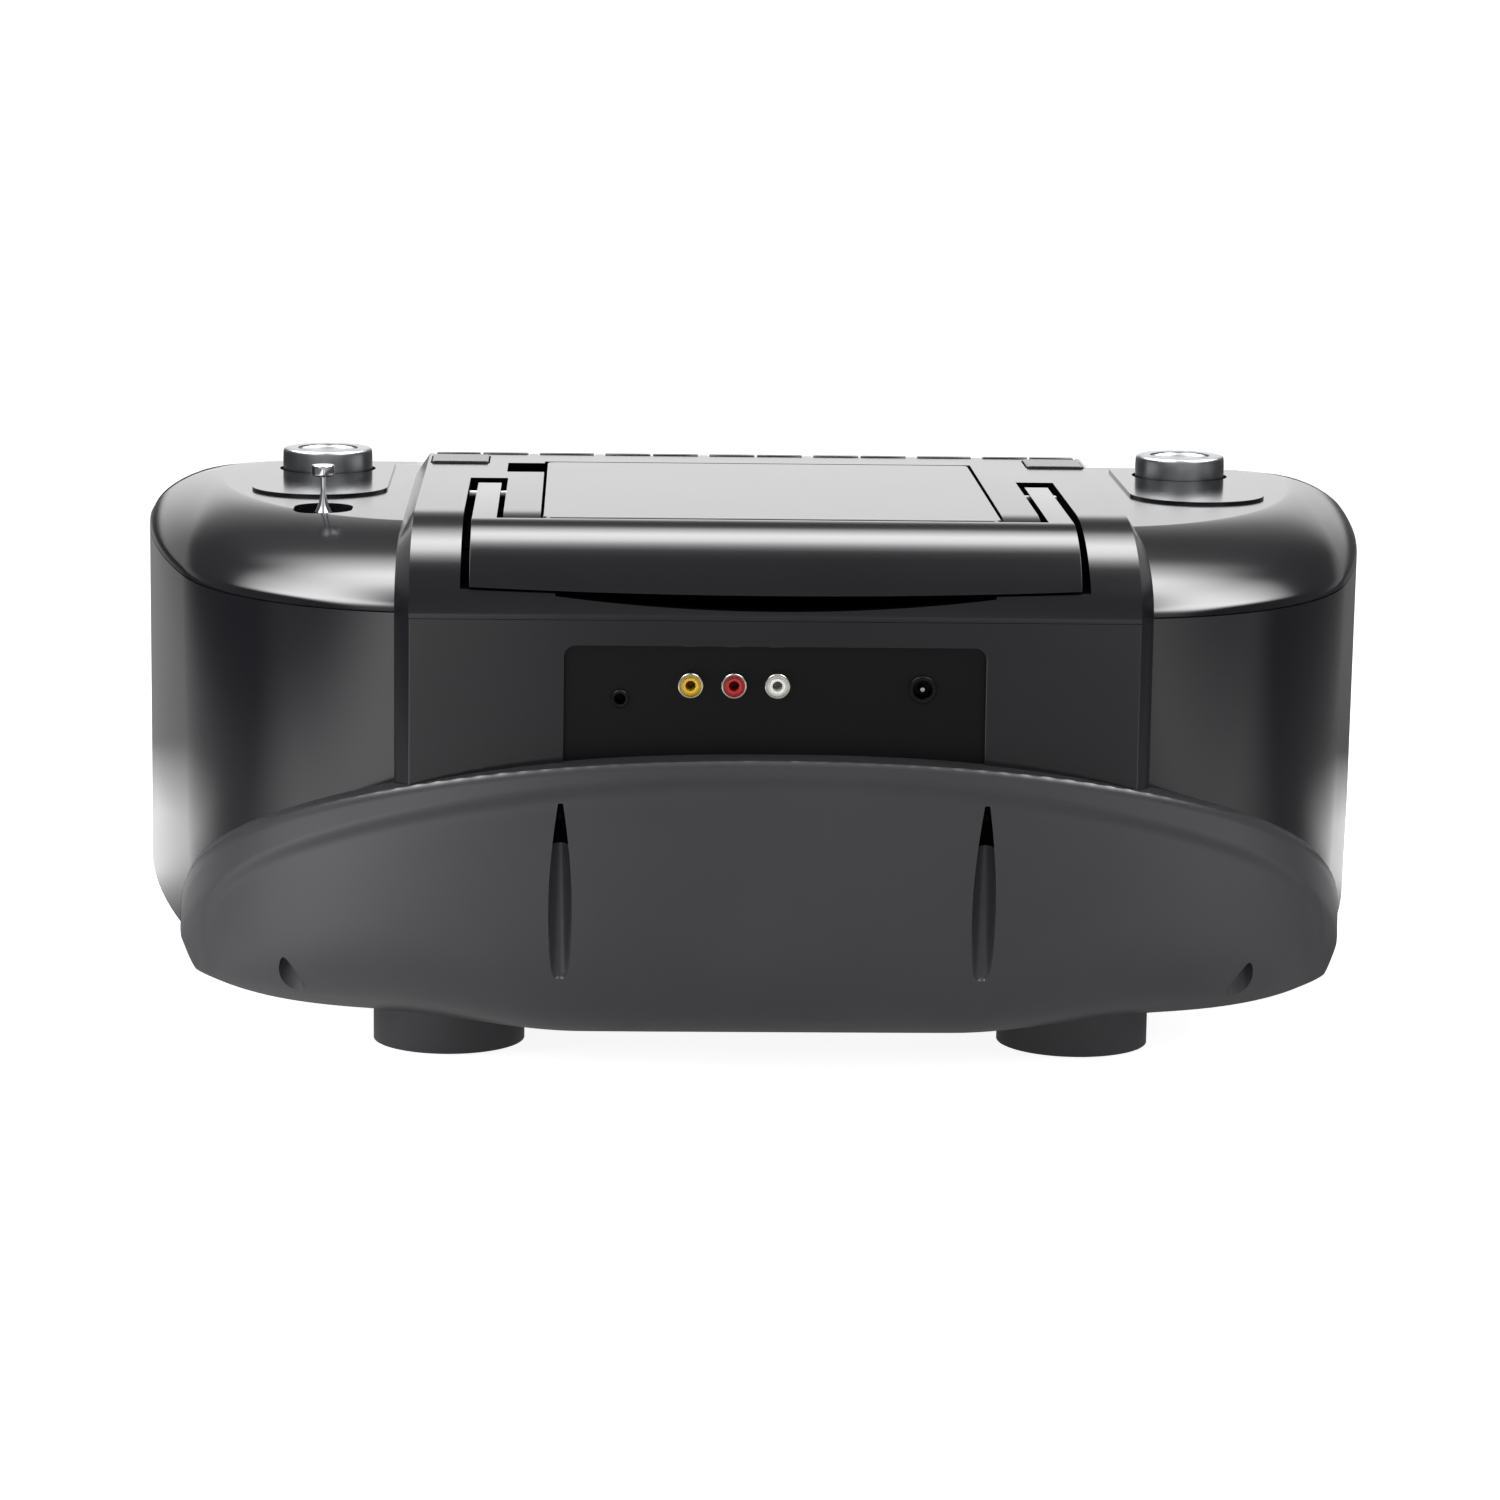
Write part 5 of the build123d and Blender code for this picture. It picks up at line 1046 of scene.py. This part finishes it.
tip = np.concatenate([[(0, 61.0), (2.0, 61.0), (2.0, 180.0)], flare, [(0.85, 192.2)],
                      arc(0.85, 192.2, 3.9, 193.0), arc(3.9, 193.0, 4.0, 193.3), [(4.0, 195.9)],
                      arc(4.0, 195.9, 3.5, 196.4, -1), [(0, 196.4)]])
place("antenna_tip", turned(tip, axis, steps=64), CHROME, "antenna_4", "antenna_tip_rod", sharp=40)


def pipe(outer, inner, low, high):
    """A tube standing at the antenna, closed all over."""
    profile = [(outer, low), (outer, high - 0.2), (outer - 0.15, high), (inner, high), (inner, low)]
    return turned(profile, axis, steps=64, ring=True)


for stage, (node, body) in enumerate((("antenna_sleeve", "case"), ("antenna_middle_tube", "antenna_2"),
                                      ("antenna_inner_tube", "antenna_3"))):
    radius = 3.5 - stage * 0.5
    tube = pipe(radius, radius - 0.45, 52 + 3 * stage, 176 + stage)
    place(node + "_tube", tube, CHROME, body, node, sharp=40)
place("antenna_collar", pipe(5.0, 3.45, 170.3, 172.3), CHROME, "case", "antenna_sleeve", sharp=40)
print("turned parts done")

# %% [markdown]
# ## Jacks
# Each phono jack is a plated ring round a coloured insulator with the pin's hole. The ring's lip is
# rounded, and a shallow step runs round the insulator.

# %% Jacks
def jack(profile, x, z):
    """A part turned round an axis along Y at (x, z). Profile rows are radius and depth."""
    return turned([(r, back(d)) for r, d in profile], (x, 0, z), "Y", 72, ring=True)


def socket(bore, rim, lip, floor):
    """Profile of a black socket: a bore down to floor and a bevelled lip 1.3 mm inside the wall."""
    return [(bore, floor), (bore, 1.6), (bore + 0.2, 1.35), (rim, 1.3), (lip, 1.6), (lip, 14.4),
            (0.02, 14.4), (0.02, floor)]


RCA_Z = 139.4
RING = [(3.56, 5.5), (3.56, -2.2), (3.62, -2.42), (3.85, -2.5), (4.05, -2.42), (4.15, -2.2), (4.15, 5.5)]
CORE = [(1.7, 7.0), (1.7, -2.3), (1.8, -2.45), (2.5, -2.5), (2.6, -2.35), (2.6, -1.6), (2.75, -1.5),
        (3.45, -1.5), (3.53, -1.4), (3.53, 14.4), (0.02, 14.4), (0.02, 7.0)]
NYLON = (("yellow", 27.7, "#c8a41c", "#d4b02c"), ("red", 13.5, "#a01818", "#b02222"),
         ("white", -0.7, "#d8d8d4", "#e4e4e0"))
for colour, x0, code, lighter in NYLON:
    finish = moulded("nylon_" + colour, code, lighter, 0.4, 0.6, 0.006)
    place("rca_ring_" + colour, jack(RING, x0, RCA_Z), NICKEL, "case", "rca_shells", sharp=50)
    place("rca_core_" + colour, jack(CORE, x0, RCA_Z), finish, "case", "rca_insert_" + colour, sharp=40)
aux = jack(socket(1.8, 2.7, 3.0, 11.2), 50.7, 134.2)
place("aux_socket", aux, DARK, "case", "aux_jack", sharp=40)
INLET_X, INLET_Z = -48.4, 137.9
inlet = jack(socket(3.1, 4.3, 4.6, 10.4), INLET_X, INLET_Z)
place("power_inlet", inlet, DARK, "case", "power_jack", sharp=40)
inlet_pin = turned([(0, back(11)), (1.0, back(11)), (1.0, back(3.2)), (0.7, back(2.6)), (0, back(2.5))],
                   (INLET_X, 0, INLET_Z), "Y", 32)
place("power_pin", inlet_pin, NICKEL, "case", sharp=40)
print("jacks done")

# %% [markdown]
# ## Everything else
# The other parts keep the shapes of their solids. A copy of each is merged and smoothed, so round
# edges shade as round, and gets its finish.

# %% Finishes for the remaining solids
REST = {
    CABINET: "front_panel knob_plates",
    BASE: "foot_rear_left foot_rear_right foot_front_left foot_front_right",
    RUBBER: "foot_pads",
    DARK: "jack_panel disc_well antenna_socket optical_pickup mic_jacks spindle_hub potentiometers",
    GRILLE: "speaker_grille_left speaker_grille_right",
    STEEL: "speaker_basket_left speaker_basket_right mechanism_chassis pickup_rails spindle_motor "
           "handle_pivot_pins lid_hinge_pins",
    BLACK_STEEL: "case_screws",
    CONE: "speaker_cone_left speaker_cone_right",
    BOARD: "main_board jack_board key_board",
    WINDOW: "display_window",
    LENS: "pickup_lens",
    KEYS: "power_key mic_knob_left mic_knob_right",
}
for finish, names in REST.items():
    for name in names.split():
        smoothed(name, finish)
left_over = [name for name, obj in nodes.items() if not obj.hide_render]
print("solids without a finish:", left_over)
